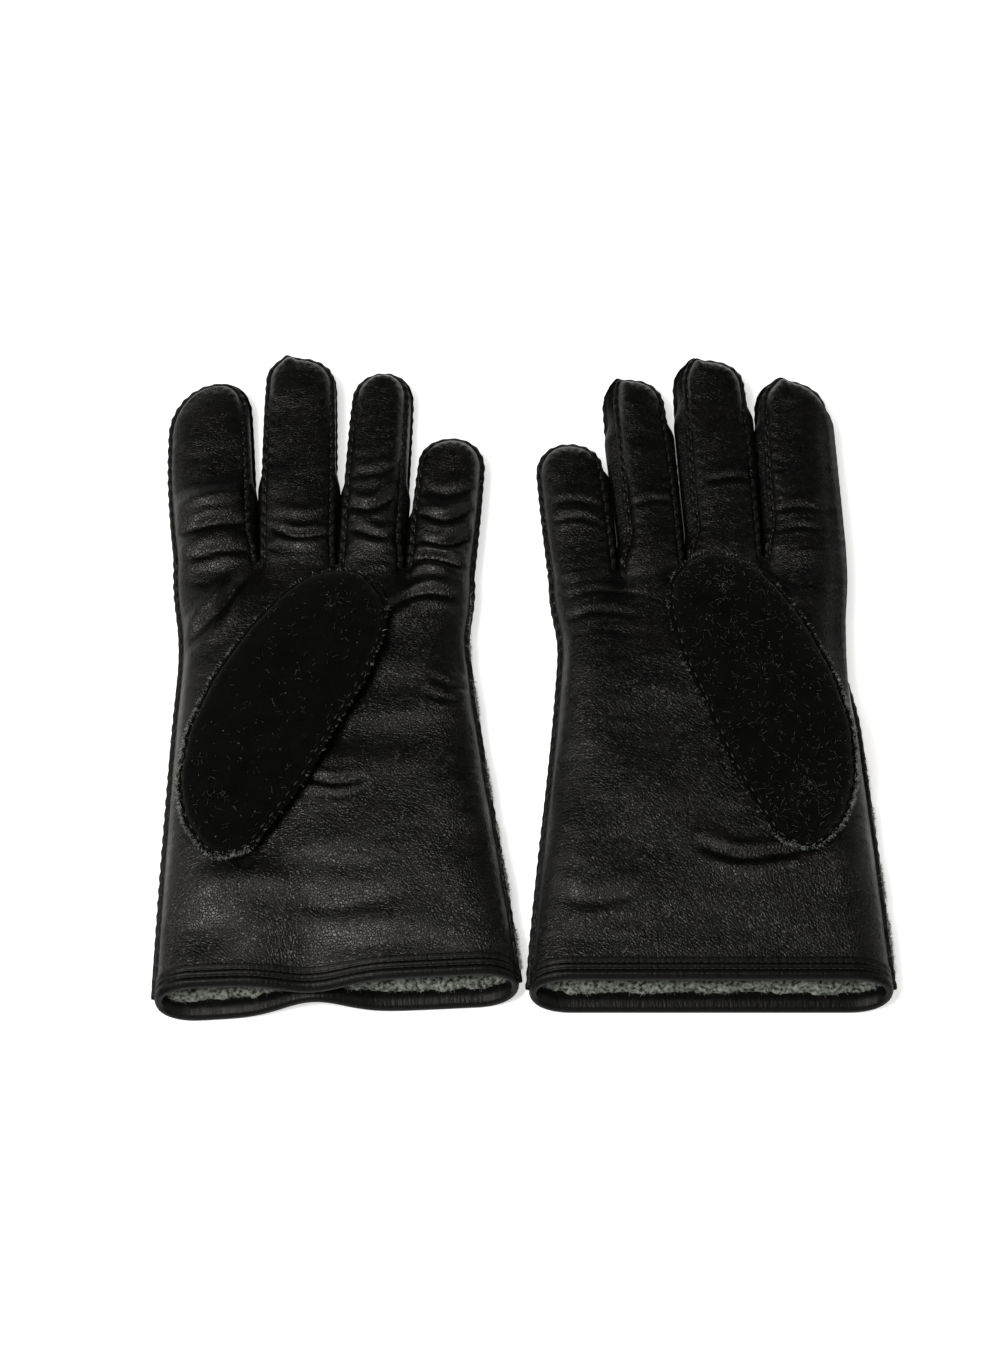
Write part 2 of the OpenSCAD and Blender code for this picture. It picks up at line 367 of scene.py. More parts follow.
def stitch_shape() -> tuple:
    """One stitch: a short thread, thickest in the middle, whose ends dive into the leather.

    Returns:
        Vertices for a stitch of length 1 and thickness 1, and its faces.
    """
    deselect()
    bpy.ops.mesh.primitive_cylinder_add(vertices=6, radius=0.5, depth=0.6, rotation=(0, math.pi / 2, 0),
                                        end_fill_type="NGON")
    seed = bpy.context.object
    bpy.ops.object.transform_apply(location=False, rotation=True, scale=False)
    bpy.ops.object.mode_set(mode="EDIT")
    bpy.ops.mesh.select_all(action="DESELECT")
    bpy.ops.object.mode_set(mode="OBJECT")
    for end in (-1, 1):
        for polygon in seed.data.polygons:
            polygon.select = polygon.normal.x * end > 0.9
        bpy.ops.object.mode_set(mode="EDIT")
        bpy.ops.mesh.extrude_region_move(TRANSFORM_OT_translate={"value": (0.2 * end, 0, -0.35)})
        bpy.ops.transform.resize(value=(1, 0.35, 0.35))
        bpy.ops.mesh.select_all(action="DESELECT")
        bpy.ops.object.mode_set(mode="OBJECT")
    # Extruding lists the new faces in no fixed order, so they are put in one.
    shape = (coordinates(seed), sorted(tuple(p.vertices) for p in seed.data.polygons))
    bpy.data.objects.remove(seed)
    return shape


def fibre_shape() -> tuple:
    """One wool fibre or nap hair: a curved three-sided spike along X.

    Returns:
        Vertices for a fibre of length 1 and thickness 1 at its root, and its faces.
    """
    rings, sides, curl = 5, 3, 3.2
    corners = []
    for i in range(rings):
        t = i / rings
        for j in range(sides):
            a = 2 * math.pi * j / sides
            r = 0.5 * (1 - t) ** 0.6
            corners.append((t, r * math.cos(a) + curl * t * t, r * math.sin(a)))
    corners.append((0.9, curl, 0.0))
    faces = [(2, 1, 0)]
    for i in range(rings - 1):
        for j in range(sides):
            k = (j + 1) % sides
            faces.append((i * sides + j, i * sides + k, (i + 1) * sides + k, (i + 1) * sides + j))
    last = (rings - 1) * sides
    faces += [(last + j, last + (j + 1) % sides, rings * sides) for j in range(sides)]
    return np.array(corners), faces


STITCH = stitch_shape()
FIBRE = fibre_shape()


# ---- Finishes ----
def linear(hex_colour: str) -> tuple:
    """An sRGB hex colour as linear red, green, blue and alpha."""
    parts = [int(hex_colour[i:i + 2], 16) / 255 for i in (1, 3, 5)]
    bent = [c / 12.92 if c <= 0.04045 else ((c + 0.055) / 1.055) ** 2.4 for c in parts]
    return (*bent, 1.0)


def feed(fed: bpy.types.Node, inputs: dict) -> None:
    """Sets or links a node's sockets.

    Args:
        fed: The node.
        inputs: Socket name or number to a value, or to the output socket that feeds it.
    """
    for key, value in inputs.items():
        if isinstance(value, bpy.types.NodeSocket):
            fed.id_data.links.new(value, fed.inputs[key])
        else:
            fed.inputs[key].default_value = value


def node(tree: bpy.types.NodeTree, kind: str, inputs: dict, out: object = 0,
         **settings) -> bpy.types.NodeSocket:
    """Adds a node with its settings, values and links.

    Args:
        tree: The material's node tree.
        kind: The node's type, less its first word.
        inputs: What feeds its sockets, as for feed().
        out: The name or number of the output wanted.
        settings: The node's own properties.
    Returns:
        That output.
    """
    made = tree.nodes.new(f"ShaderNode{kind}")
    for key, value in settings.items():
        setattr(made, key, value)
    feed(made, inputs)
    return made.outputs[out]


def per(size_mm: float) -> float:
    """The texture scale whose features are about size_mm across."""
    return 1.0 / (size_mm * MM)


def new_material(name: str) -> tuple:
    """A new node material.

    Returns:
        The material, its tree, its shader and its Object coordinates.
    """
    material = bpy.data.materials.new(name)
    material.use_nodes = True
    tree = material.node_tree
    tree.nodes.clear()
    shader = tree.nodes.new("ShaderNodeBsdfPrincipled")
    feed(tree.nodes.new("ShaderNodeOutputMaterial"), {"Surface": shader.outputs[0]})
    return material, tree, shader, node(tree, "TexCoord", {}, "Object")


@dataclass(frozen=True)
class Nappa:
    """Black hair-sheep nappa, drum dyed and lightly glazed: fine grain, soft broken shine."""

    name: str = "black_nappa"
    dark: str = "#020202"
    light: str = "#080706"
    grain_mm: float = 1.0
    warp_mm: float = 2.4
    rough_low: float = 0.26
    rough_high: float = 0.4
    bump_mm: float = 0.22
    shine: float = 0.3

    def material(self) -> bpy.types.Material:
        """Builds the node material."""
        material, tree, shader, where = new_material(self.name)
        warp = node(tree, "TexNoise", {"Vector": where, "Scale": per(self.warp_mm), "Detail": 1.0}, 1)
        shifted = node(tree, "VectorMath", {0: warp, 1: (MM, MM, MM)}, operation="MULTIPLY")
        bent = node(tree, "VectorMath", {0: where, 1: shifted}, operation="ADD")
        cells = node(tree, "TexVoronoi", {"Vector": bent, "Scale": per(self.grain_mm)}, "Distance",
                     feature="DISTANCE_TO_EDGE")
        pores = node(tree, "MapRange", {0: cells, 1: 0.0, 2: 0.18, 3: 1.0, 4: 0.0})
        fine = node(tree, "TexNoise", {"Vector": where, "Scale": per(0.55), "Detail": 3.0})
        pull = node(tree, "Mapping", {"Vector": where, "Scale": (0.28, 1.0, 1.0)})
        lines = node(tree, "TexNoise", {"Vector": pull, "Scale": per(1.9), "Detail": 3.0})
        broad = node(tree, "TexNoise", {"Vector": where, "Scale": per(14.0), "Detail": 3.0})
        blotch = node(tree, "TexNoise", {"Vector": where, "Scale": per(5.0), "Detail": 2.0})
        height = node(tree, "Math", {0: pores, 1: -0.42}, operation="MULTIPLY")
        for socket, weight in ((fine, 0.2), (lines, 0.45), (blotch, 0.8)):
            height = node(tree, "Math", {0: socket, 1: weight, 2: height}, operation="MULTIPLY_ADD")
        polish = node(tree, "Math", {0: blotch, 1: 0.6}, operation="MULTIPLY")
        polish = node(tree, "Math", {0: fine, 1: 0.4, 2: polish}, operation="MULTIPLY_ADD")
        rough = {0: polish, 1: 0.3, 2: 0.7, 3: self.rough_low, 4: self.rough_high}
        share = node(tree, "MapRange", {0: broad, 1: 0.3, 2: 0.7, 3: 0.0, 4: 1.0})
        feed(shader, {
            "Base Color": node(tree, "Mix", {0: share, 6: linear(self.dark), 7: linear(self.light)}, 2,
                               data_type="RGBA"),
            "Roughness": node(tree, "MapRange", rough),
            "Normal": node(tree, "Bump", {"Strength": 0.75, "Distance": self.bump_mm * MM, "Height": height}),
            "Specular IOR Level": self.shine,
            "IOR": 1.5,
        })
        return material


@dataclass(frozen=True)
class Suede:
    """Black suede, the flesh side buffed to a nap: matt, brushed in patches, with caught pale dust."""

    name: str = "black_suede"
    dark: str = "#020302"
    light: str = "#090b08"
    speck: str = "#6a6e66"
    speck_pitch_mm: float = 2.6

    def material(self) -> bpy.types.Material:
        """Builds the node material."""
        material, tree, shader, where = new_material(self.name)
        nap = node(tree, "TexNoise", {"Vector": where, "Scale": per(0.7), "Detail": 4.0})
        brushed = node(tree, "TexNoise", {"Vector": where, "Scale": per(7.0), "Detail": 3.0})
        cloth = node(tree, "Math", {0: nap, 1: 0.55}, operation="MULTIPLY")
        cloth = node(tree, "Math", {0: brushed, 1: 0.45, 2: cloth}, operation="MULTIPLY_ADD")
        cloth = node(tree, "MapRange", {0: cloth, 1: 0.36, 2: 0.64, 3: 0.0, 4: 1.0})
        base = node(tree, "Mix", {0: cloth, 6: linear(self.dark), 7: linear(self.light)}, 2, data_type="RGBA")
        dust = node(tree, "TexVoronoi", {"Vector": where, "Scale": per(self.speck_pitch_mm)}, "Distance")
        near = node(tree, "MapRange", {0: dust, 1: 0.05, 2: 0.11, 3: 1.0, 4: 0.0})
        patch = node(tree, "TexNoise", {"Vector": where, "Scale": per(3.1), "Detail": 1.0})
        picked = node(tree, "MapRange", {0: patch, 1: 0.5, 2: 0.6, 3: 0.0, 4: 0.8})
        share = node(tree, "Math", {0: near, 1: picked}, operation="MULTIPLY")
        feed(shader, {
            "Base Color": node(tree, "Mix", {0: share, 6: base, 7: linear(self.speck)}, 2, data_type="RGBA"),
            "Normal": node(tree, "Bump", {"Strength": 0.9, "Distance": 0.3 * MM, "Height": nap}),
            "Roughness": 0.95,
            "Specular IOR Level": 0.06,
            "Sheen Weight": 0.03,
            "Sheen Roughness": 0.5,
        })
        return material


@dataclass(frozen=True)
class BindingLeather:
    """Glazed black leather of the cuff binding: smoother and glossier, with fine ribs on the roll."""

    name: str = "black_binding_leather"
    dark: str = "#030303"
    light: str = "#0a0a09"

    def material(self) -> bpy.types.Material:
        """Builds the node material."""
        material, tree, shader, where = new_material(self.name)
        pull = node(tree, "Mapping", {"Vector": where, "Scale": (1.0, 0.2, 0.2)})
        ribs = node(tree, "TexNoise", {"Vector": pull, "Scale": per(1.0), "Detail": 2.0})
        fine = node(tree, "TexNoise", {"Vector": where, "Scale": per(0.6), "Detail": 3.0})
        height = node(tree, "Math", {0: fine, 1: 0.4, 2: ribs}, operation="MULTIPLY_ADD")
        share = node(tree, "MapRange", {0: fine, 1: 0.35, 2: 0.65, 3: 0.0, 4: 1.0})
        feed(shader, {
            "Base Color": node(tree, "Mix", {0: share, 6: linear(self.dark), 7: linear(self.light)}, 2,
                               data_type="RGBA"),
            "Roughness": node(tree, "MapRange", {0: ribs, 1: 0.3, 2: 0.7, 3: 0.34, 4: 0.52}),
            "Normal": node(tree, "Bump", {"Strength": 0.8, "Distance": 0.25 * MM, "Height": height}),
            "Specular IOR Level": 0.17,
        })
        return material


@dataclass(frozen=True)
class Fibrous:
    """Wool or thread: one noise gives its light and dark and its relief."""

    name: str
    dark: str
    light: str
    noise_mm: float
    detail: float
    span: tuple
    strength: float
    bump_mm: float
    rough: float
    shine: float
    sheen: float

    def material(self) -> bpy.types.Material:
        """Builds the node material."""
        material, tree, shader, where = new_material(self.name)
        curl = node(tree, "TexNoise", {"Vector": where, "Scale": per(self.noise_mm), "Detail": self.detail})
        share = node(tree, "MapRange", {0: curl, 1: self.span[0], 2: self.span[1], 3: 0.0, 4: 1.0})
        bump = {"Strength": self.strength, "Distance": self.bump_mm * MM, "Height": curl}
        feed(shader, {
            "Base Color": node(tree, "Mix", {0: share, 6: linear(self.dark), 7: linear(self.light)}, 2,
                               data_type="RGBA"),
            "Normal": node(tree, "Bump", bump),
            "Roughness": self.rough,
            "Specular IOR Level": self.shine,
            "Sheen Weight": self.sheen,
        })
        return material


# noise_mm, detail, span, strength, bump_mm, rough, shine, sheen
CLIPPED = (1.3, 4.0, (0.36, 0.62), 1.0, 0.8, 0.95, 0.15, 0.2)
TWISTED = (0.4, 2.0, (0.4, 0.6), 0.7, 0.12, 0.4, 0.5, 0.0)
MATERIALS = {
    "nappa": Nappa().material(),
    "suede": Suede().material(),
    "binding": BindingLeather().material(),
    "wool": Fibrous("fleece", "#222522", "#a9afa6", *CLIPPED).material(),
    "thread": Fibrous("waxed_thread", "#040404", "#1d1c1a", *TWISTED).material(),
    "lint": Fibrous("suede_lint", "#2a2c28", "#777a72", *CLIPPED).material(),
}


def dress(piece: bpy.types.Object, finish: str) -> bpy.types.Object:
    """Gives a piece its finish and logs its face count."""
    piece.data.materials.clear()
    piece.data.materials.append(MATERIALS[finish])
    log.info("made %s: %d faces", piece.name, len(piece.data.polygons))
    return piece


# ---- Creases ----
@dataclass(frozen=True)
class Crease:
    """A fold line in the leather, in glove millimetres: a groove with soft shoulders."""

    points: tuple
    depth: float = 0.5
    width: float = 1.3
    shoulder: float = 0.5

    def at(self, x: Array, y: Array) -> Array:
        """How much the crease raises or lowers the leather at each place."""
        line = resample(curve_through(np.array(self.points, float)), 28)
        t = np.linspace(0.0, 1.0, len(line))
        best = np.full(x.shape, 1e9)
        share = np.zeros(x.shape)
        for p, s in zip(line, t):
            d = np.hypot(x - p[0], y - p[1])
            closer = d < best
            best = np.where(closer, d, best)
            share = np.where(closer, s, share)
        fade = np.sin(np.pi * np.clip(share * 0.94 + 0.03, 0.0, 1.0)) ** 0.7
        ridge = self.shoulder * bell(best - 2.1 * self.width, 1.2 * self.width)
        return 1.45 * self.depth * fade * (ridge - bell(best, self.width))


def curve_through(points: Array) -> Array:
    """A smooth curve through a few points."""
    if len(points) < 3:
        return points
    padded = np.vstack([2 * points[0] - points[1], points, 2 * points[-1] - points[-2]])
    out = []
    for i in range(1, len(padded) - 2):
        p0, p1, p2, p3 = padded[i - 1:i + 3]
        for t in np.linspace(0, 1, 10, endpoint=False):
            out.append(0.5 * (2 * p1 + (p2 - p0) * t + (2 * p0 - 5 * p1 + 4 * p2 - p3) * t * t
                              + (3 * p1 - p0 - 3 * p2 + p3) * t ** 3))
    out.append(points[-1])
    return np.array(out)


# ---- Panels with an outline, sewn edge to edge ----
NEAR_EDGE = (0.0, 0.6, 1.1, 1.5, 1.85, 2.25, 3.0, 4.2)
ACROSS = len(NEAR_EDGE) + 9
ROLLED_DROP = 3.0  # how far a seam sinks where it is rolled in under the side
CUFF_START = 1.0  # where the hand's panels begin, under the binding
CUFF_LIP = 1.8  # how far the cuff's edge stands in at the top
CUFF_FOOT = 4.2  # how much further out its foot reaches, on top of the slant
SEAM_FIBRES, PILE_FIBRES, THUMB_EDGE_FIBRES = 3600, 3600, 4800
STRAY_HAIRS = {Side.LEFT: 300, Side.RIGHT: 900}
HEM_PITCH = 2.4  # from stitch to stitch on the binding
CUFF_ROUND = 275.0  # length round the cuff, for what repeats along it
FINGER_FOLD = 23.0  # how far up a finger from its knuckle line the fold's far end is worked out
THUMB_FOLD = (-8.0, 16.0)  # the same for a thumb, below and above its hinge
STITCH_OVER = 0.42  # how far a stitch lies from the seam's middle
LIP_OVER = 0.04  # gap between the two raw edges of a seam


@dataclass
class Leaf:
    """A panel outline as two sides that run from a root to an apex, with a middle line between.

    Each rib runs from a point on a side to a point on the middle line, so that a place on the panel
    is a step along the outline and a distance in from the raw edge.
    """

    left: Array
    right: Array
    middle: Array

    def ribs(self) -> tuple:
        """Both sides in one run, from the root up the -X side and back down the +X side.

        Returns:
            Outline points, middle points, rib lengths, and the run along the outline in millimetres.
        """
        edge = np.vstack([self.left, self.right[-2::-1]])
        inner = np.vstack([self.middle, self.middle[-2::-1]])
        length = np.linalg.norm(inner - edge, axis=1)
        run = np.concatenate([[0.0], np.cumsum(np.linalg.norm(np.diff(edge, axis=0), axis=1))])
        return edge, inner, length, run

    def grid(self) -> tuple:
        """The panel as a grid of places.

        Returns:
            Places (run, across, 2), distance from the edge (run, across), rib lengths (run, 1) and
            the run along the outline (run, 1).
        """
        edge, inner, length, run = self.ribs()
        near = np.array(NEAR_EDGE)
        rest = np.linspace(0.0, 1.0, ACROSS - len(near) + 1)[1:]
        q = np.empty((len(edge), ACROSS))
        q[:, :len(near)] = near
        q[:, len(near):] = near[-1] + rest * (length[:, None] - near[-1])
        share = q / length[:, None]
        places = edge[:, None, :] + (inner - edge)[:, None, :] * share[..., None]
        return places, q, length[:, None], run[:, None]

    def inset(self, amount: Array) -> Array:
        """The outline moved in along its ribs."""
        edge, inner, length, _ = self.ribs()
        return edge + (inner - edge) * (np.asarray(amount) / length)[:, None]


def outseam(q: Array, run: Array) -> Array:
    """The raw flange and the groove of the stitches, as heights above the seam."""
    pucker = np.cos(2 * np.pi * run / PATTERN.stitch_pitch)
    droop = 0.45 * (1.0 - smooth(q / 1.5))
    flange = PATTERN.leather - droop + 0.14 * pucker * bell(q - 0.8, 1.2)
    groove = -(0.3 - 0.12 * pucker) * bell(q - PATTERN.flange, 0.42)
    return flange + groove - 0.16 * pucker * bell(q - 4.0, 1.5)


def tucked(q: Array, amount: Array) -> Array:
    """How far in from the outline a place lies where the seam is rolled in under the side.

    Args:
        q: Distance from the raw edge over the flat panel.
        amount: 0 where the flange sticks out, 1 where it is rolled in.
    Returns:
        The distance in from the outline.
    """
    return q + amount * (2.8 * (1.0 - smooth((q - 1.9) / 2.0)) - 3.0 * bell(q - 4.0, 1.6))


def swell(q: Array, reach: Array, power: float) -> Array:
    """How far a stuffed panel has risen at a distance from its raw edge, from 0 to 1."""
    return dome((q - PATTERN.flange) / np.maximum(reach - PATTERN.flange, 0.1), power)


@dataclass
class Finger:
    """One finger of a glove: a palm face, a back face and its side strips.

    Attributes:
        index: Which finger, from the index finger's 0.
        lean: How far it leans to +X, in degrees.
        caps, blunt: Length and squareness of the tip's curve on the -X and the +X side.
        apex: How far to +X the tip's point lies.
        roll: How far the palm face's +X seam is rolled in.
        longer: What it has over the pattern's length.
        nub: Where across the tip the end of the seam stands out, or far off for nowhere.
        bulge: How far the -X side bows out.
        tuck: 1 where the -X seam is rolled in under the side, 0 where it sticks out.
        steps: Ribs along each side.
    """

    index: int
    lean: float
    caps: tuple
    blunt: tuple
    apex: float
    roll: float
    longer: float = 0.0
    nub: float = 99.0
    bulge: float = 0.5
    tuck: float = 0.0
    steps: int = 104

    @property
    def name(self) -> str:
        """The finger's plain name."""
        return FINGER_NAMES[self.index]

    @property
    def width(self) -> float:
        """Laid width."""
        return PATTERN.widths[self.index]

    @property
    def centre(self) -> Array:
        """The middle of the finger on the knuckle line."""
        x = PATTERN.finger_left(self.index) + self.width / 2
        return np.array([x, PATTERN.knuckle_y(x)])

    def strips(self) -> tuple:
        """Whether there is a side strip on the -X and the +X side."""
        return self.index != 0, self.index != 3

    def local(self, points: Array) -> Array:
        """The finger's own (across, along) to the glove's (x, y)."""
        return self.centre + leaned(points, self.lean)

    def own(self, place: Array) -> Array:
        """The glove's (x, y) to the finger's own (across, along)."""
        return leaned(np.asarray(place) - self.centre, -self.lean)

    def side_line(self, sign: int, roll: float) -> Array:
        """One side of the outline, from the knuckle line to the fingertip, in the glove's (x, y)."""
        length = PATTERN.lengths[self.index] + self.longer
        cap = self.caps[0 if sign < 0 else 1]
        blunt = self.blunt[0 if sign < 0 else 1]
        half = self.width / 2
        root_x = PATTERN.finger_left(self.index) + (self.width if sign > 0 else 0.0)
        root = self.own(np.array([root_x, PATTERN.knuckle_y(root_x)]))
        along = np.linspace(root[1], length - cap, 120)
        share = (along - root[1]) / (length - root[1])
        body = half * (1.0 - 0.045 * share) + (self.bulge if sign < 0 else 0.4) * np.sin(np.pi * share)
        ease = 1.0 - smooth((along - root[1]) / 16.0)
        body = body + (sign * root[0] - half) * ease
        body = body - roll * smooth((along - root[1] - 2.0) / 14.0)
        last = body[-1] - sign * self.apex
        angle = np.linspace(0.0, np.pi / 2, 90)[1:]
        tip_across = sign * self.apex + last * np.cos(angle) ** (2.0 / blunt)
        tip_along = length - cap + cap * np.sin(angle) ** (2.0 / blunt)
        across = sign * np.concatenate([body, tip_across])
        along = np.concatenate([along, tip_along])
        along = along + 1.9 * bell(across - self.nub, 2.6) * smooth((along - length + 8.0) / 5.0)
        own = np.stack([across, along], axis=1)
        return resample(self.local(own), self.steps + 1)

    def leaf(self, face: Face) -> Leaf:
        """The outline of the palm face or the back face."""
        roll = self.roll if face is Face.TOP else 0.0
        left, right = self.side_line(-1, 0.0), self.side_line(1, roll)
        right[-1] = left[-1]
        start = (left[0] + right[0]) / 2
        reach = PATTERN.lengths[self.index] + self.longer - 0.44 * self.width
        end = self.local(np.array([self.apex * 0.6 - roll * 0.4, reach]))
        share = np.clip(np.linspace(0, 1, self.steps + 1) / 0.84, 0.0, 1.0)
        share = share - 0.06 * np.sin(np.pi * share)
        middle = start + (end - start) * share[:, None]
        return Leaf(left, right, middle)

    def strip_half(self) -> Array:
        """Half the side strip's height at each rib: full beside the next finger, none at the tip."""
        full = 3.2
        share = np.linspace(0, 1, self.steps + 1)
        taper = full * (1.0 - smooth((share - 0.66) / 0.3))
        left = taper if self.strips()[0] else np.zeros_like(taper)
        right = taper if self.strips()[1] else np.zeros_like(taper)
        return np.concatenate([left, right[-2::-1]])

    def tuck_at(self) -> Array:
        """How far the -X seam is rolled in at each rib."""
        share = np.linspace(0, 1, self.steps + 1)
        left = self.tuck * (1.0 - smooth((share - 0.6) / 0.25))
        return np.concatenate([left, np.zeros(self.steps)])

    def top_of(self, face: Face, places: Array) -> Array:
        """How high, or how low, the stuffed finger reaches at each place."""
        along = self.own(places)[..., 1] / PATTERN.lengths[self.index]
        if face is Face.UNDER:
            return 0.25 + 1.2 * smooth((along - 0.8) / 0.25)
        return PATTERN.finger_height + (PATTERN.tip_height - PATTERN.finger_height) * smooth(along)

    def heights(self, face: Face, leaf: Leaf) -> tuple:
        """The panel's places and heights.

        Args:
            face: Palm face or back face.
            leaf: The face's outline.
        Returns:
            Places, heights and distances from the raw edge, each with one entry a vertex.
        """
        _, q, length, run = leaf.grid()
        edge, inner, _, _ = leaf.ribs()
        amount = self.tuck_at()[:, None]
        share = tucked(q, amount) / length
        places = edge[:, None, :] + (inner - edge)[:, None, :] * share[..., None]
        sign = face.value
        seam = PATTERN.seam_height - ROLLED_DROP * amount + sign * self.strip_half()[:, None]
        start = seam + sign * outseam(q, run)
        goal = self.top_of(face, places)
        rise = swell(q, length, 2.3)
        return places, start + (goal - seam - sign * PATTERN.leather) * rise, q


def with_return(rows: Array, seam: Array, sign: int, edge: Array) -> Array:
    """Adds the leather's raw edge and the underside of the flange to a panel.

    Args:
        rows: The panel's vertices (run, across, 3), the raw edge first.
        seam: Seam heights, one a rib.
        sign: 1 for a face that looks up, -1 for one that looks down.
        edge: The outline moved in by the flange, (run, 2).
    Returns:
        The longer panel.
    """
    under = np.concatenate([edge, (seam + sign * LIP_OVER)[:, None]], axis=1)[:, None, :]
    lip = rows[:, :1, :].copy()
    lip[:, 0, 2] = seam + sign * LIP_OVER
    return np.concatenate([under, lip, rows], axis=1)


@dataclass
class Stitches:
    """Gathers the places of the stitches of one body."""

    centres: list
    along: list
    up: list

    def row(self, line: Array, sign: int, first: float = 0.5, pitch: float = PATTERN.stitch_pitch) -> None:
        """Adds a row of stitches along a line of points.

        Args:
            line: Points in glove millimetres, (n, 3).
            sign: 1 where the stitches look up, -1 where they look down.
            first: Where the first stitch is, as a share of the pitch.
            pitch: Distance from stitch to stitch.
        """
        step = np.linalg.norm(np.diff(line, axis=0), axis=1)
        run = np.concatenate([[0.0], np.cumsum(step)])
        at = np.arange(first * pitch, run[-1] - 0.3 * pitch, pitch)
        if len(at) == 0:
            return
        for offset, store in ((0.0, self.centres), (0.3, self.along)):
            moved = np.stack([np.interp(at + offset, run, line[:, k]) for k in range(3)], axis=1)
            store.append(moved)
        self.along[-1] = self.along[-1] - self.centres[-1]
        self.up.append(np.tile([0.0, 0.0, float(sign)], (len(at), 1)))

    def build(self, name: str, place: Place, length: float = PATTERN.stitch_length,
              thickness: float = 0.8) -> bpy.types.Object:
        """Makes one piece of all the stitches."""
        centres, along, up = (np.vstack(part) for part in (self.centres, self.along, self.up))
        scale = np.tile([length, thickness, thickness], (len(centres), 1))
        return dress(scatter(name, STITCH, centres, along, up, scale, place), "thread")


def fringe(name: str, roots: Array, out: Array, seed: int, place: Place, length: float = 1.6,
           thickness: float = 0.16, wild: float = 0.7, finish: str = "wool") -> bpy.types.Object:
    """Wool fibres that stick out along a line or from a surface.

    Args:
        name: The piece's name.
        roots: Where the fibres grow, (n, 3).
        out: Which way they point, (n, 3).
        seed: The seed of their scatter.
        place: Where the glove lies.
        length, thickness: A fibre's middling size.
        wild: How much their directions differ.
        finish: The name of their material.
    Returns:
        The piece.
    """
    rng = np.random.default_rng(seed)
    count = len(roots)
    direction = unit(unit(out) + rng.normal(0.0, wild, (count, 3)))
    size = length * rng.uniform(0.55, 1.25, count)
    thick = thickness * rng.uniform(0.7, 1.3, count)
    scale = np.stack([size, thick, thick], axis=1)
    up = unit(rng.normal(0.0, 1.0, (count, 3)))
    return dress(scatter(name, FIBRE, roots, direction, up, scale, place), finish)


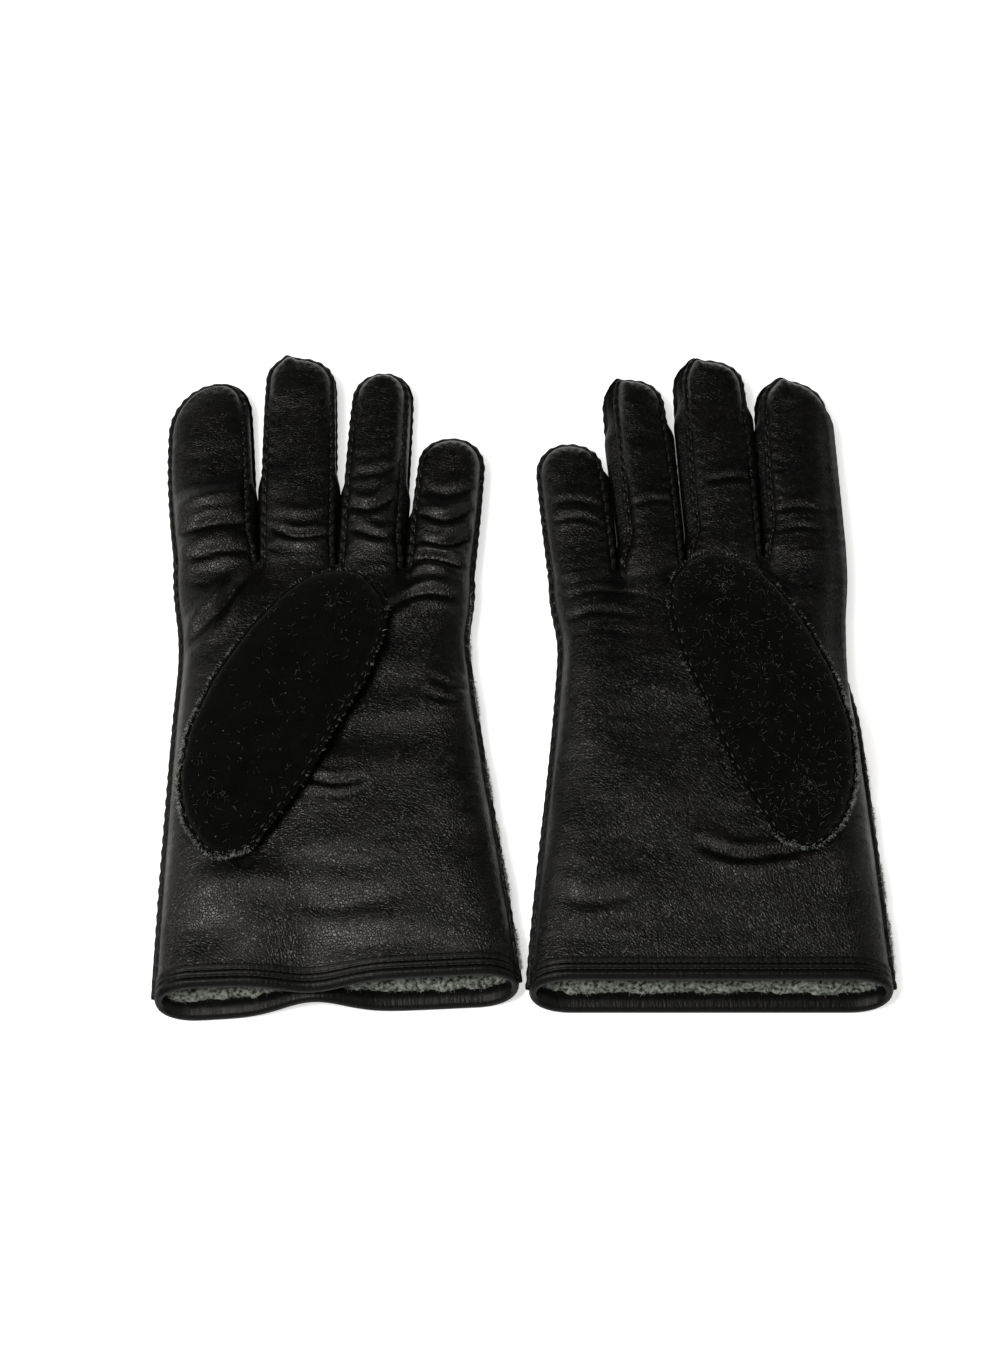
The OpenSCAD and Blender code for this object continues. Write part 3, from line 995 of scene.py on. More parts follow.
@dataclass
class Glove:
    """One glove of the pair.

    Attributes:
        side: Which glove.
        fingers: Its fingers, from the index finger.
        thumb_root, thumb_lean: Where the thumb starts and how far it leans, in degrees.
        creases: Its fold lines.
        pinch: 1 where the cuff's mouth is pressed shut in the middle, 0 where it is open.
        wool_seed: The first of its seeds.
        softness: How strong its cross waves are.
        closed: The share of the fingers' length over which the gaps between them are shut.
    """

    side: Side
    fingers: list
    thumb_root: tuple
    thumb_lean: float
    creases: tuple
    pinch: float
    wool_seed: int
    softness: float
    closed: float

    def __post_init__(self) -> None:
        """Finds where the glove lies."""
        self.place = Place.of(self.side)
        self.made: list = []

    def name(self, part: str) -> str:
        """A piece's or body's or node's name on this glove."""
        return f"{self.side.value}_{part}"

    # -- shared surface --
    def relief(self, x: Array, y: Array) -> Array:
        """Creases and soft waves of the palm side's leather."""
        seed = self.wool_seed
        soft = 0.9 * lumps(x, y, 24.0, seed) + 0.5 * self.softness * lumps(x * 0.45, y, 10.0, seed + 1)
        soft = soft + 0.13 * lumps(x * 0.35, y, 3.4, seed + 2) + 0.035 * lumps(x * 0.5, y, 1.3, seed + 3)
        for crease in self.creases:
            soft = soft + crease.at(x, y)
        return soft * smooth((y - 7.0) / 9.0)

    def pinched(self, x: Array, y: Array) -> Array:
        """How far the cuff is pinched shut at each place, from 0 to 1."""
        return self.pinch * bell(x + 8.0, 15.0) * (1.0 - smooth((y + 4.0) / 46.0))

    def section(self, face: Face, x: Array, y: Array, q: Array, rolled: Array = 0.0) -> Array:
        """Height of the hand's palm or back panel at a distance q from the nearest side edge."""
        seam = self.seam_at(y) - ROLLED_DROP * rolled
        if face is Face.TOP:
            cuff, palm, knuckle = PATTERN.cuff_height, PATTERN.palm_height, PATTERN.finger_height
            tops = [cuff, cuff, palm, palm, knuckle, knuckle]
            goal = np.interp(y, [0, 12, 40, 120, 156, 175], tops)
            goal = goal - 4.2 * self.pinched(x, y)
        else:
            goal = np.interp(y, [0, 12, 40], [0.9, 0.9, 0.3]) + 5.8 * self.pinched(x, y)
        sign = face.value
        reach = np.interp(y, [0, 40, 175], [15.0, 19.0, 17.0])
        rise = dome((q - PATTERN.flange) / reach, 2.2)
        start = seam + sign * outseam(q, y)
        return start + (goal - seam - sign * PATTERN.leather) * rise

    def seam_at(self, y: Array) -> Array:
        """Height of the side seams."""
        return np.interp(y, [0, 60, 170], [PATTERN.cuff_seam_height, 8.2, PATTERN.seam_height])

    # -- fingers --
    def finger_blend(self, piece: bpy.types.Object, finger: Finger) -> None:
        """Bakes a finger's piece into its vertices; the fold's ends it works out are not used."""
        slope = unit(np.array([PATTERN.knuckle_slope, 1.0]))
        start = np.array([*finger.centre, 0.0])
        end = start + np.array([*slope, 0.0]) * FINGER_FOLD
        a, b = self.place.world(start), self.place.world(end)
        self.name("hand")
        self.name(finger.name)
        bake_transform(piece)

    def build_finger(self, finger: Finger) -> dict:
        """Builds a finger's two faces, its side strips, its stitches and its lining.

        Args:
            finger: The finger.
        Returns:
            Base rows by face, for the hand's panels to meet.
        """
        bases = {}
        stitches = Stitches([], [], [])
        half = finger.strip_half()
        leaves = {}
        for face, part in ((Face.TOP, "palm"), (Face.UNDER, "back")):
            leaf = leaves[face] = finger.leaf(face)
            places, z, q = finger.heights(face, leaf)
            if face is Face.TOP:
                far = smooth((q - PATTERN.flange) / 2.5)
                z = z + self.relief(places[..., 0], places[..., 1]) * far
            rows = np.concatenate([places, z[..., None]], axis=2)
            rolled = finger.tuck_at()
            seam = PATTERN.seam_height - ROLLED_DROP * rolled + face.value * half
            edge, inner, _, run = leaf.ribs()
            uneven = 0.13 + 0.1 * lumps(run, run * 0, 13.0, self.wool_seed + finger.index)
            scallop = uneven * np.cos(2 * np.pi * run / PATTERN.stitch_pitch)
            at_root = smooth(np.minimum(np.arange(len(seam)), np.arange(len(seam))[::-1]) / 4.0)
            rows[:, 0, :2] += unit(edge - inner) * (scallop * at_root)[:, None]
            flat = leaf.grid()[0]
            flat_x = np.concatenate([flat[0, :, 0], flat[-1, -2::-1, 0]])
            bases[face] = np.column_stack([np.vstack([rows[0], rows[-1, -2::-1]]), flat_x])
            under_at = tucked(np.full(len(seam), PATTERN.flange - 0.2), rolled)
            grown = with_return(rows, seam, face.value, leaf.inset(under_at))
            part_name = self.name(f"{finger.name}_{part}_leather")
            piece = sheet(part_name, grown, self.place, np.array([0.0, 0.0, float(face.value)]))
            dress(piece, "nappa")
            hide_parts(self.name(f"{finger.name}_{part}_side"))
            self.made.append((piece, face, finger))
            thread_at = tucked(np.full(len(seam), PATTERN.flange), rolled)
            line = np.concatenate([leaf.inset(thread_at), (seam + face.value * STITCH_OVER)[:, None]], axis=1)
            stitches.row(line, face.value)
        self.build_strips(finger, leaves, half)
        piece = stitches.build(self.name(f"{finger.name}_stitches"), self.place)
        self.finger_blend(piece, finger)
        self.build_finger_lining(finger)
        return bases

    def build_strips(self, finger: Finger, leaves: dict, half: Array) -> None:
        """Builds the side strips between the palm face and the back face."""
        parts = []
        top, under = leaves[Face.TOP], leaves[Face.UNDER]
        count = finger.steps + 1
        thick = PATTERN.leather
        mid = PATTERN.seam_height
        fall = np.maximum(half - thick, 0.0)
        flange_in = PATTERN.flange - 0.5
        outward = unit(top.ribs()[0] - top.ribs()[1])
        share = np.linspace(0, 1, count)
        share = np.concatenate([share, share[-2::-1]])
        close = (1.2 + 2.9 * share) * (1.0 - smooth((share - self.closed) / 0.14))
        for which, present in enumerate(finger.strips()):
            if not present:
                continue
            pick = slice(0, count) if which == 0 else slice(count - 1, 2 * count - 1)
            profile = [(top, flange_in, mid + half - 0.04), (top, 0.1, mid + half - 0.04),
                       (top, 0.1, mid + fall), (top, flange_in, mid + fall)]
            columns = []
            for leaf, inset, z in profile:
                columns.append(np.concatenate([leaf.inset(inset), z[:, None]], axis=1)[pick])
            for t in (0.12, 0.3, 0.5, 0.7, 0.88):
                spot = top.inset(flange_in) * (1 - t) + under.inset(flange_in) * t
                full = 1.1 * np.minimum(half, 1.0) + close
                spot = spot + outward * (full * math.sin(math.pi * t))[:, None]
                z = mid + fall * (1 - 2 * t)
                columns.append(np.concatenate([spot, z[:, None]], axis=1)[pick])
            for inset, z in ((flange_in, mid - fall), (0.1, mid - fall), (0.1, mid - half + 0.04),
                             (flange_in, mid - half + 0.04)):
                columns.append(np.concatenate([under.inset(inset), z[:, None]], axis=1)[pick])
            rows = np.stack(columns, axis=1)
            facing = np.concatenate([outward, np.zeros((len(outward), 1))], axis=1)[pick][:, None, :]
            parts.append(sheet("strip", rows, self.place, facing))
        nodes = [n for n in frame["nodes"] if n.startswith(self.name(f"{finger.name}_fourchette"))]
        piece = dress(joined(self.name(f"{finger.name}_side_strips"), parts), "nappa")
        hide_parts(*nodes)
        self.finger_blend(piece, finger)

    def build_finger_lining(self, finger: Finger) -> None:
        """Builds the closed fleece tube inside a finger."""
        length = PATTERN.lengths[finger.index]
        clear = 4.6
        tip = 0.8 * finger.width
        along = np.concatenate([[-1.0], np.linspace(-1.0, length - tip, 24),
                                length - tip + (tip - 1.5 * clear) * np.sin(np.linspace(0.15, np.pi / 2, 8))])
        narrow = np.ones(len(along))
        narrow[0] = 0.0
        narrow[-8:] = np.cos(np.linspace(0.15, np.pi / 2, 8))
        angle = np.linspace(0, 2 * np.pi, 25)
        middle = PATTERN.seam_height
        middle_x = finger.apex / 2 - finger.roll / 2
        rows = []
        for a, n in zip(along, narrow):
            across = (finger.width / 2 - clear - finger.roll / 2) * n * np.cos(angle) + middle_x
            spot = finger.local(np.stack([across, np.full_like(across, a)], axis=1))
            rows.append(np.concatenate([spot, (middle + 3.6 * n * np.sin(angle))[:, None]], axis=1))
        rows = np.array(rows)
        centre = rows.mean(axis=1, keepdims=True)
        piece = sheet(self.name(f"{finger.name}_fleece"), rows, self.place, rows - centre)
        dress(piece, "wool")
        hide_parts(self.name(f"{finger.name}_lining"))
        self.finger_blend(piece, finger)

    # -- hand --
    def build_hand(self, bases: dict) -> None:
        """Builds the palm and back panels, which meet the fingers along the knuckle line.

        Args:
            bases: For each face, the four fingers' base rows.
        """
        stitches = Stitches([], [], [])
        near = np.array(NEAR_EDGE)
        for face, part in ((Face.TOP, "palm"), (Face.UNDER, "back")):
            top = np.vstack(bases[face])
            low, high = top[0, 3], top[-1, 3]
            share = (top[:, 3] - low) / (high - low)
            count = len(top)
            down = np.concatenate([np.linspace(0, 0.16, 26), np.linspace(0.16, 1.0, 100)[1:]])
            rows = []
            below = top[:, 1].mean() * down
            top_q = np.minimum(top[:, 3] - low, high - top[:, 3])
            roll_here = self.fingers[0].tuck * (share < 0.5)
            flat = self.section(face, top[:, 0], top[:, 1], top_q, roll_here)
            fix = 0.0
            excess = top[:, 2] - flat
            kernel = bell(np.arange(-9, 10), 4.0)
            broad = np.convolve(np.pad(excess, 9, mode="edge"), kernel / kernel.sum(), mode="valid")
            broad = broad * smooth(top_q / 9.0)
            for t, drop in zip(down, np.outer(below, np.ones(count))):
                y_even = top[:, 1] * (1 - t) + CUFF_START * t
                loose = smooth(drop / 26.0)
                left, right = PATTERN.hand_edges(y_even)
                settle = smooth(drop / 30.0)
                left = left * settle + low * (1 - settle)
                right = right * settle + high * (1 - settle)
                wide = right - left
                tight = share * wide
                even = np.empty(count)
                even[:len(near)] = near
                even[-len(near):] = wide[-len(near):] - near[::-1]
                inner = np.linspace(0, 1, count - 2 * len(near) + 2)[1:-1]
                even[len(near):-len(near)] = near[-1] + inner * (wide - 2 * near[-1])[len(near):-len(near)]
                along = tight * (1 - loose) + even * loose
                q = np.minimum(along, wide - along)
                rolled = self.fingers[0].tuck * smooth((y_even - 96.0) / 40.0)
                at_left = along < wide / 2
                along = np.where(at_left, tucked(q, rolled), along)
                x = left + along
                if drop[0] == 0.0:
                    fix = top[:, 0] - x
                x = x + fix * (1.0 - smooth(drop / 6.0))
                z = self.section(face, x, y_even, q, rolled * at_left)
                z = z + broad * (1 - smooth(drop / 19.0)) + (excess - broad) * (1 - smooth(drop / 4.0))
                y = y_even.copy()
                if t > 0.75:
                    lower = smooth((t - 0.75) / 0.25)
                    foot = 1 - z / PATTERN.cuff_height
                    y = y + lower * (CUFF_LIP - (PATTERN.cuff_slant + CUFF_FOOT) * foot)
                uneven = 0.13 + 0.1 * lumps(y, y * 0, 13.0, self.wool_seed)
                scallop = uneven * np.cos(2 * np.pi * y / PATTERN.stitch_pitch)
                x[0] -= scallop[0] * min(drop[0], 1.0)
                x[-1] += scallop[-1] * min(drop[0], 1.0)
                if face is Face.TOP:
                    inside = smooth((q - PATTERN.flange) / 3.0) * min(t * 1e4, 1.0)
                    z = z + self.relief(x, y) * inside
                rows.append(np.stack([x, y, z], axis=1))
            rows = np.array(rows)[::-1]
            for end in (0, -1):
                line = rows[:, end].copy()
                inward = 1 if end == 0 else -1
                rolled = self.fingers[0].tuck * smooth((line[:, 1] - 96.0) / 40.0) * (end == 0)
                seam = self.seam_at(line[:, 1]) - ROLLED_DROP * rolled
                stitch_line = line.copy()
                stitch_line[:, 0] += inward * PATTERN.flange * (1.0 - 0.3 * rolled)
                stitch_line[:, 2] = seam + face.value * STITCH_OVER
                stitches.row(stitch_line, face.value)
                lip = line.copy()
                lip[:, 2] = seam + face.value * LIP_OVER
                under = lip.copy()
                under[:, 0] += inward * (PATTERN.flange - 0.2)
                extra = np.stack([under, lip], axis=1)
                if end == 0:
                    rows = np.concatenate([extra, rows], axis=1)
                else:
                    rows = np.concatenate([rows, extra[:, ::-1]], axis=1)
            facing = np.array([0.0, 0.0, float(face.value)])
            piece = sheet(self.name(f"{part}_leather"), rows, self.place, facing)
            dress(piece, "nappa")
            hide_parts(self.name(f"{part}_panel"))
            self.made.append((piece, face, None))
            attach(piece, self.name("hand"))
        piece = stitches.build(self.name("side_seam_stitches"), self.place)
        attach(piece, self.name("hand"))
        self.build_crotches(bases)
        self.build_seam_fleece()

    def build_crotches(self, bases: dict) -> None:
        """Closes the short wall between two fingers where their side strips meet."""
        parts = []
        inset = PATTERN.flange - 0.5
        for first in range(3):
            a = bases[Face.TOP][first][-1]
            b = bases[Face.TOP][first + 1][0]
            c = bases[Face.UNDER][first][-1]
            x = np.linspace(a[0] - inset, b[0] + inset, 7)
            z = np.linspace(a[2] - 0.8, c[2] + 0.8, 7)
            grid_x, grid_z = np.meshgrid(x, z)
            hollow = 1.2 * np.sin(np.pi * np.linspace(0, 1, 7))[None, :]
            rows = np.stack([grid_x, PATTERN.knuckle_y(grid_x) - hollow + 0.1, grid_z], axis=-1)
            parts.append(sheet("crotch", rows, self.place, np.array([0.0, 1.0, 0.0])))
        piece = dress(joined(self.name("finger_crotches"), parts), "nappa")
        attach(piece, self.name("hand"))

    def build_seam_fleece(self) -> None:
        """Adds the wool that works out between the two raw edges of one side seam."""
        sign = 1 if self.side is Side.LEFT else -1
        rng = np.random.default_rng(self.wool_seed + 50)
        count = SEAM_FIBRES
        y = rng.uniform(3.0, 150.0, count)
        edges = PATTERN.hand_edges(y)
        x = edges[1] - 0.5 if sign > 0 else edges[0] + 0.5
        patch = lumps(y, y * 0, 7.0, self.wool_seed + 51) + 0.6 * smooth((70.0 - y) / 60.0)
        shown = (patch > rng.uniform(-0.3, 1.1, count)) & ((sign > 0) | (y < 92.0))
        z = self.seam_at(y) + rng.uniform(0.0, 0.7, count)
        roots = np.stack([x, y, z], axis=1)[shown]
        out = np.tile([float(sign), 0.0, 0.7], (len(roots), 1))
        name = self.name("side_seam_fleece")
        piece = fringe(name, roots, out, self.wool_seed + 52, self.place, 1.5, 0.2, 0.6)
        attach(piece, self.name("hand"))

    # -- cuff --
    def mouth(self, y: float, inset: float, count: int = 420) -> tuple:
        """The cuff's section as a closed loop.

        Args:
            y: Distance from the palm side's edge.
            inset: How far in from the leather's outside.
            count: Points round the loop.
        Returns:
            Points (count, 3) and outward directions (count, 3). The last point is the first.
        """
        trim = PATTERN.flange - 0.2
        theta = np.linspace(np.pi, -np.pi, 1401)
        left, right = PATTERN.hand_edges(np.array(max(y, 0.0)))
        left, right = left + trim, right - trim
        x = (left + right) / 2 + (right - left) / 2 * np.cos(theta)
        q = np.minimum(x - left, right - x)
        seam = float(self.seam_at(np.array(max(y, 0.0))))
        pinch = self.pinched(x, np.array(y))
        reach = 14.5
        up = seam + (PATTERN.cuff_height - 4.2 * pinch - seam) * dome(q / reach, 2.2)
        down = seam + (0.9 + 5.8 * pinch - seam) * dome(q / reach, 2.2)
        z = np.where(theta >= 0, up, down)
        loop = resample(np.stack([x, z], axis=1), count)
        tangent = unit(np.roll(loop[:-1], -1, axis=0) - np.roll(loop[:-1], 1, axis=0))
        tangent = np.vstack([tangent, tangent[:1]])
        outward = np.stack([-tangent[:, 1], tangent[:, 0]], axis=1)
        if (outward * (loop - loop.mean(axis=0))).sum() < 0:
            outward = -outward
        spot = loop - outward * inset
        foot = 1.0 - np.clip(spot[:, 1] / PATTERN.cuff_height, 0.0, 1.0)
        near_edge = 1.0 - smooth(np.array(y / 28.0))
        slanted = y + (CUFF_LIP - (PATTERN.cuff_slant + CUFF_FOOT) * foot) * near_edge
        points = np.stack([spot[:, 0], slanted, spot[:, 1]], axis=1)
        return points, np.stack([outward[:, 0], np.zeros(count), outward[:, 1]], axis=1)

    def build_binding(self) -> None:
        """Builds the turned strip round the cuff's edge, with its two rows of stitches."""
        reach_out, reach_in, roll = 6.6, 5.2, 1.25
        rows_at = (1.8, 4.2)
        profile = []
        for y in np.linspace(reach_out, 0.0, 30):
            lift = 0.62 * smooth(np.array((reach_out - y) / 0.5)) - 0.3
            for groove in rows_at:
                lift = lift - 0.34 * bell(y - groove, 0.42)
            lift = lift + 0.16 * bell(y - 3.0, 0.8) + 0.18 * bell(y - 0.3, 0.8)
            profile.append((float(y), -float(lift)))
        for a in np.linspace(0, np.pi, 11)[1:]:
            profile.append((-roll * math.sin(a), -0.35 + roll * (1 - math.cos(a)) * 1.05))
        inner = profile[-1][1]
        for y in np.linspace(0.0, reach_in, 8)[1:]:
            profile.append((float(y), inner + 0.25 * math.sin(y)))
        rows = []
        outs = []
        for y, inset in profile:
            points, out = self.mouth(y, inset)
            rows.append(points)
            outs.append(out)
        rows = np.array(rows)
        run = np.linspace(0, 1, rows.shape[1]) * CUFF_ROUND
        ribs = 0.1 * np.sin(2 * np.pi * run / 1.5 + 1.5 * lumps(run, run * 0, 9.0, self.wool_seed))
        along_cuff = [y for y, _ in profile]
        on_roll = np.where(np.arange(len(profile)) > 26, bell(np.array(along_cuff) + 0.4, 1.4), 0.0)
        low_side = 1.0 - smooth((rows[0, :, 2] - 6.0) / 5.0)
        ribbing = (ribs * (0.35 + 0.65 * low_side))[None, :, None]
        rows = rows + np.array(outs) * ribbing * on_roll[:, None, None]
        facing = np.array(outs) * np.where(np.arange(len(profile)) < 36, 1.0, -1.0)[:, None, None]
        piece = sheet(self.name("cuff_binding_leather"), rows, self.place, facing)
        dress(piece, "binding")
        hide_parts(self.name("cuff_binding"))
        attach(piece, self.name("hand"))
        stitches = Stitches([], [], [])
        for groove in rows_at:
            points, _ = self.mouth(groove, -0.12)
            half = len(points) // 2
            stitches.row(points[3:half - 3], 1, pitch=HEM_PITCH)
            stitches.row(points[half + 3:-3], -1, pitch=HEM_PITCH)
        piece = stitches.build(self.name("cuff_stitches"), self.place, length=1.7, thickness=0.34)
        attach(piece, self.name("hand"))

    def build_cuff_fleece(self) -> None:
        """Builds the fleece inside the cuff: a hollow pile, darkening inwards, with loose fibres."""
        rows, outs = [], []
        stations = [(4.0, 1.2), (4.2, 2.6), (4.6, 3.9), (5.6, 4.7), (7.0, 5.0)]
        stations += [(y, 5.0) for y in np.linspace(8.5, 70.0, 40)]
        for y, inset in stations:
            points, out = self.mouth(y, inset)
            rows.append(points)
            outs.append(out)
        rows, outs = np.array(rows), np.array(outs)
        run = np.linspace(0, 1, rows.shape[1]) * CUFF_ROUND
        depth = np.array([s[0] for s in stations])[:, None]
        along, deep = np.broadcast_arrays(run[None, :], depth)
        tangle = 0.45 * lumps(along, deep, 1.7, self.wool_seed)
        tangle = tangle + 0.5 * lumps(along, deep, 5.0, self.wool_seed + 5)
        tangle[:, -1] = tangle[:, 0]
        fade = smooth((np.arange(len(stations)) - 0.5) / 3.0)[:, None]
        rows = rows - outs * (tangle * fade)[..., None]
        edge = 0.9 * lumps(run, run * 0, 4.0, self.wool_seed + 6)
        edge = edge + 0.6 * lumps(run, run * 0, 1.4, self.wool_seed + 7)
        edge[-1] = edge[0]
        rows[..., 1] += edge[None, :] * np.exp(-depth / 12.0)
        cap = rows[-1:].copy()
        cap[...] = rows[-1].mean(axis=0)
        rows = np.concatenate([rows, cap], axis=0)
        facing = -np.concatenate([outs, outs[-1:]], axis=0)
        piece = sheet(self.name("cuff_fleece"), rows, self.place, facing)
        dress(piece, "wool")
        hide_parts(self.name("palm_lining"), self.name("back_lining"))
        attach(piece, self.name("hand"))
        rng = np.random.default_rng(self.wool_seed + 11)
        pick_row = rng.integers(1, 9, PILE_FIBRES)
        pick_col = rng.integers(0, rows.shape[1], PILE_FIBRES)
        roots = rows[pick_row, pick_col]
        out = -outs[pick_row, pick_col] * 0.9
        out[:, 1] -= 0.9
        piece = fringe(self.name("cuff_pile"), roots, out, self.wool_seed + 12, self.place, 1.7, 0.2)
        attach(piece, self.name("hand"))

    # -- thumb --
    def thumb_local(self, own: Array) -> Array:
        """The thumb's own (across, along) to the glove's (x, y)."""
        return leaned(own, self.thumb_lean) + np.array(self.thumb_root)

    def thumb_own(self, spot: Array) -> Array:
        """The glove's (x, y) to the thumb's own (across, along)."""
        return leaned(np.asarray(spot) - np.array(self.thumb_root), -self.thumb_lean)

    def thumb_leaf(self, steps: int = 150) -> Leaf:
        """The thumb's outline: a long leaf, blunt at both ends."""
        length, width = PATTERN.thumb_length, PATTERN.thumb_width
        share = [0.0, 0.06, 0.16, 0.32, 0.5, 0.69, 0.84, 0.94, 1.0]
        across = [-4.0, -6.0, -8.5, -9.5, -9.5, -7.0, -5.0, -4.0, -4.0]
        wide = [0.34, 0.54, 0.77, 0.96, 1.0, 0.98, 0.84, 0.62, 0.36]
        t = (1 - np.cos(np.linspace(0, np.pi, 500))) / 2
        spread = 0.025
        shifts = (-spread, 0.0, spread)
        half = sum(np.interp(np.clip(t + s, 0, 1), share, wide) for s in shifts) / 3 * width / 2
        middle = sum(np.interp(np.clip(t + s, 0, 1), share, across) for s in shifts) / 3
        close = dome(t * length / 9.0, 2.0) * dome((1 - t) * length / 9.0, 2.0)
        sides = []
        for sign in (-1, 1):
            own = np.stack([middle + sign * half * close, t * length], axis=1)
            sides.append(resample(self.thumb_local(own), steps + 1))
        run = np.clip((np.linspace(0, 1, steps + 1) - 0.16) / 0.68, 0, 1)
        along = 21.0 + (length - 42.0) * run
        line = np.stack([np.interp(along / length, t, middle), along], axis=1)
        return Leaf(sides[0], sides[1], self.thumb_local(line))

    def thumb_blend(self, piece: bpy.types.Object) -> None:
        """Bakes a thumb's piece into its vertices; the fold's ends it works out are not used."""
        a = np.array([*self.thumb_local(np.array([-9.5, PATTERN.thumb_bend + THUMB_FOLD[0]])), 0.0])
        b = np.array([*self.thumb_local(np.array([-9.5, PATTERN.thumb_bend + THUMB_FOLD[1]])), 0.0])
        start, end = self.place.world(a), self.place.world(b)
        self.name("hand")
        self.name("thumb")
        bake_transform(piece)

    def build_thumb(self) -> None:
        """Builds the suede back, the nappa front, the lining and the stitches of the thumb."""
        leaf = self.thumb_leaf()
        places, q, length, run = leaf.grid()
        along = self.thumb_own(places)[..., 1]
        low = PATTERN.thumb_low - 1.9 * (1 - smooth((along - 20) / 30))
        sink = 1.9 * (1 - smooth(along / 26.0)) + 1.5 * smooth((along - 96) / 26.0)
        seam = PATTERN.thumb_low + 6.4 - sink
        top = PATTERN.thumb_high - 0.8 * sink
        stitches = Stitches([], [], [])
        x, y = places[..., 0], places[..., 1]
        waves = 0.5 * lumps(x, y, 17.0, self.wool_seed + 20) + 0.12 * lumps(x, y, 3.0, self.wool_seed + 21)
        edge, inner, _, _ = leaf.ribs()
        for face, part, finish in ((Face.TOP, "suede_back", "suede"), (Face.UNDER, "nappa_front", "nappa")):
            sign = face.value
            goal = top if face is Face.TOP else low
            rise = (goal - seam - sign * PATTERN.leather) * swell(q, length, 2.5)
            z = seam + sign * outseam(q, run) + rise
            if face is Face.TOP:
                z = z + waves * smooth((q - 2.4) / 5.0) - 0.4 * smooth((q - 2.4) / 5.0)
            rows = np.concatenate([places, z[..., None]], axis=2)
            scallop = 0.25 * np.cos(2 * np.pi * run / PATTERN.stitch_pitch)
            rows[:, 0, :2] += unit(edge - inner) * scallop
            grown = with_return(rows, seam[:, 0], sign, leaf.inset(PATTERN.flange - 0.2))
            piece = sheet(self.name(f"thumb_{part}"), grown, self.place, np.array([0.0, 0.0, float(sign)]))
            dress(piece, finish)
            if face is Face.TOP:
                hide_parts(self.name("thumb_back"))
                suede_rows = rows
            else:
                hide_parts(self.name("thumb_front"), self.name("thumb_root"))
            self.thumb_blend(piece)
            height = (seam + sign * STITCH_OVER)[:, :1]
            line = np.concatenate([leaf.inset(PATTERN.flange), height], axis=1)
            stitches.row(line, sign)
        self.thumb_blend(stitches.build(self.name("thumb_stitches"), self.place))
        self.build_thumb_lining(leaf, seam[:, 0])
        self.build_nap(suede_rows)

    def build_thumb_lining(self, leaf: Leaf, seam: Array) -> None:
        """Builds the fleece pad inside the thumb and the fibres that show at its raw edge."""
        places, q, length, _ = leaf.grid()
        inside = places[:, 5:, :]
        deep = swell(q[:, 5:], length, 2.5)
        sheets = []
        for sign in (1, -1):
            z = seam[:, None] + sign * 3.4 * deep
            rows = np.concatenate([inside, z[..., None]], axis=2)
            sheets.append(sheet("pad", rows, self.place, np.array([0.0, 0.0, float(sign)])))
        piece = joined(self.name("thumb_fleece"), sheets)
        activate(piece)
        bpy.ops.object.mode_set(mode="EDIT")
        bpy.ops.mesh.select_all(action="SELECT")
        bpy.ops.mesh.remove_doubles(threshold=0.02 * MM)
        bpy.ops.object.mode_set(mode="OBJECT")
        dress(piece, "wool")
        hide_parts(self.name("thumb_lining"), self.name("thumb_root_lining"))
        self.thumb_blend(piece)
        edge, inner, _, run = leaf.ribs()
        rng = np.random.default_rng(self.wool_seed + 30)
        count = THUMB_EDGE_FIBRES
        at = rng.uniform(0, run[-1], count)
        spot = np.stack([np.interp(at, run, edge[:, k]) for k in range(2)], axis=1)
        toward = np.stack([np.interp(at, run, (edge - inner)[:, k]) for k in range(2)], axis=1)
        z = np.interp(at, run, seam)
        share = at / run[-1]
        keep = self.edge_wool(share) > rng.uniform(0, 1, count)
        roots = np.concatenate([spot - unit(toward) * 0.9, z[:, None]], axis=1)[keep]
        out = np.concatenate([unit(toward), np.full((count, 1), 0.45)], axis=1)[keep]
        name = self.name("thumb_edge_fleece")
        piece = fringe(name, roots, out, self.wool_seed + 31, self.place, 2.0, 0.26, 0.5)
        self.thumb_blend(piece)

    def edge_wool(self, share: Array) -> Array:
        """How much wool shows at the thumb's raw edge, as the outline runs from root round to root."""
        outer = bell(share - 0.12, 0.11)
        tail = bell(share - 0.97, 0.02)
        return 0.06 + 0.94 * np.clip(outer + tail, 0.0, 1.0)

    def build_nap(self, rows: Array) -> None:
        """Scatters pale hairs over the suede, whose vertices are given row by row."""
        rng = np.random.default_rng(self.wool_seed + 40)
        count = STRAY_HAIRS[self.side]
        i = rng.integers(3, rows.shape[0] - 3, count)
        j = rng.integers(5, rows.shape[1] - 1, count)
        share = rng.uniform(0, 1, (count, 1))
        near = rows[i, np.minimum(j + 1, rows.shape[1] - 1)]
        roots = rows[i, j] * (1 - share) + near * share + np.array([0.0, 0.0, 0.12])
        out = rng.normal(0, 1, (count, 3)) * np.array([1.0, 1.0, 0.18])
        name = self.name("thumb_stray_hairs")
        piece = fringe(name, roots, out, self.wool_seed + 41, self.place, 2.4, 0.08, 0.2, "lint")
        self.thumb_blend(piece)

    def build(self) -> None:
        """Builds the whole glove."""
        bases = {Face.TOP: [], Face.UNDER: []}
        for finger in self.fingers:
            rows = self.build_finger(finger)
            for face in Face:
                bases[face].append(rows[face])
        self.build_hand(bases)
        for face in Face:
            match_borders([piece for piece, f, _ in self.made if f is face])
        for piece, _, finger in self.made:
            if finger is not None:
                self.finger_blend(piece, finger)
        self.build_binding()
        self.build_cuff_fleece()
        self.build_thumb()


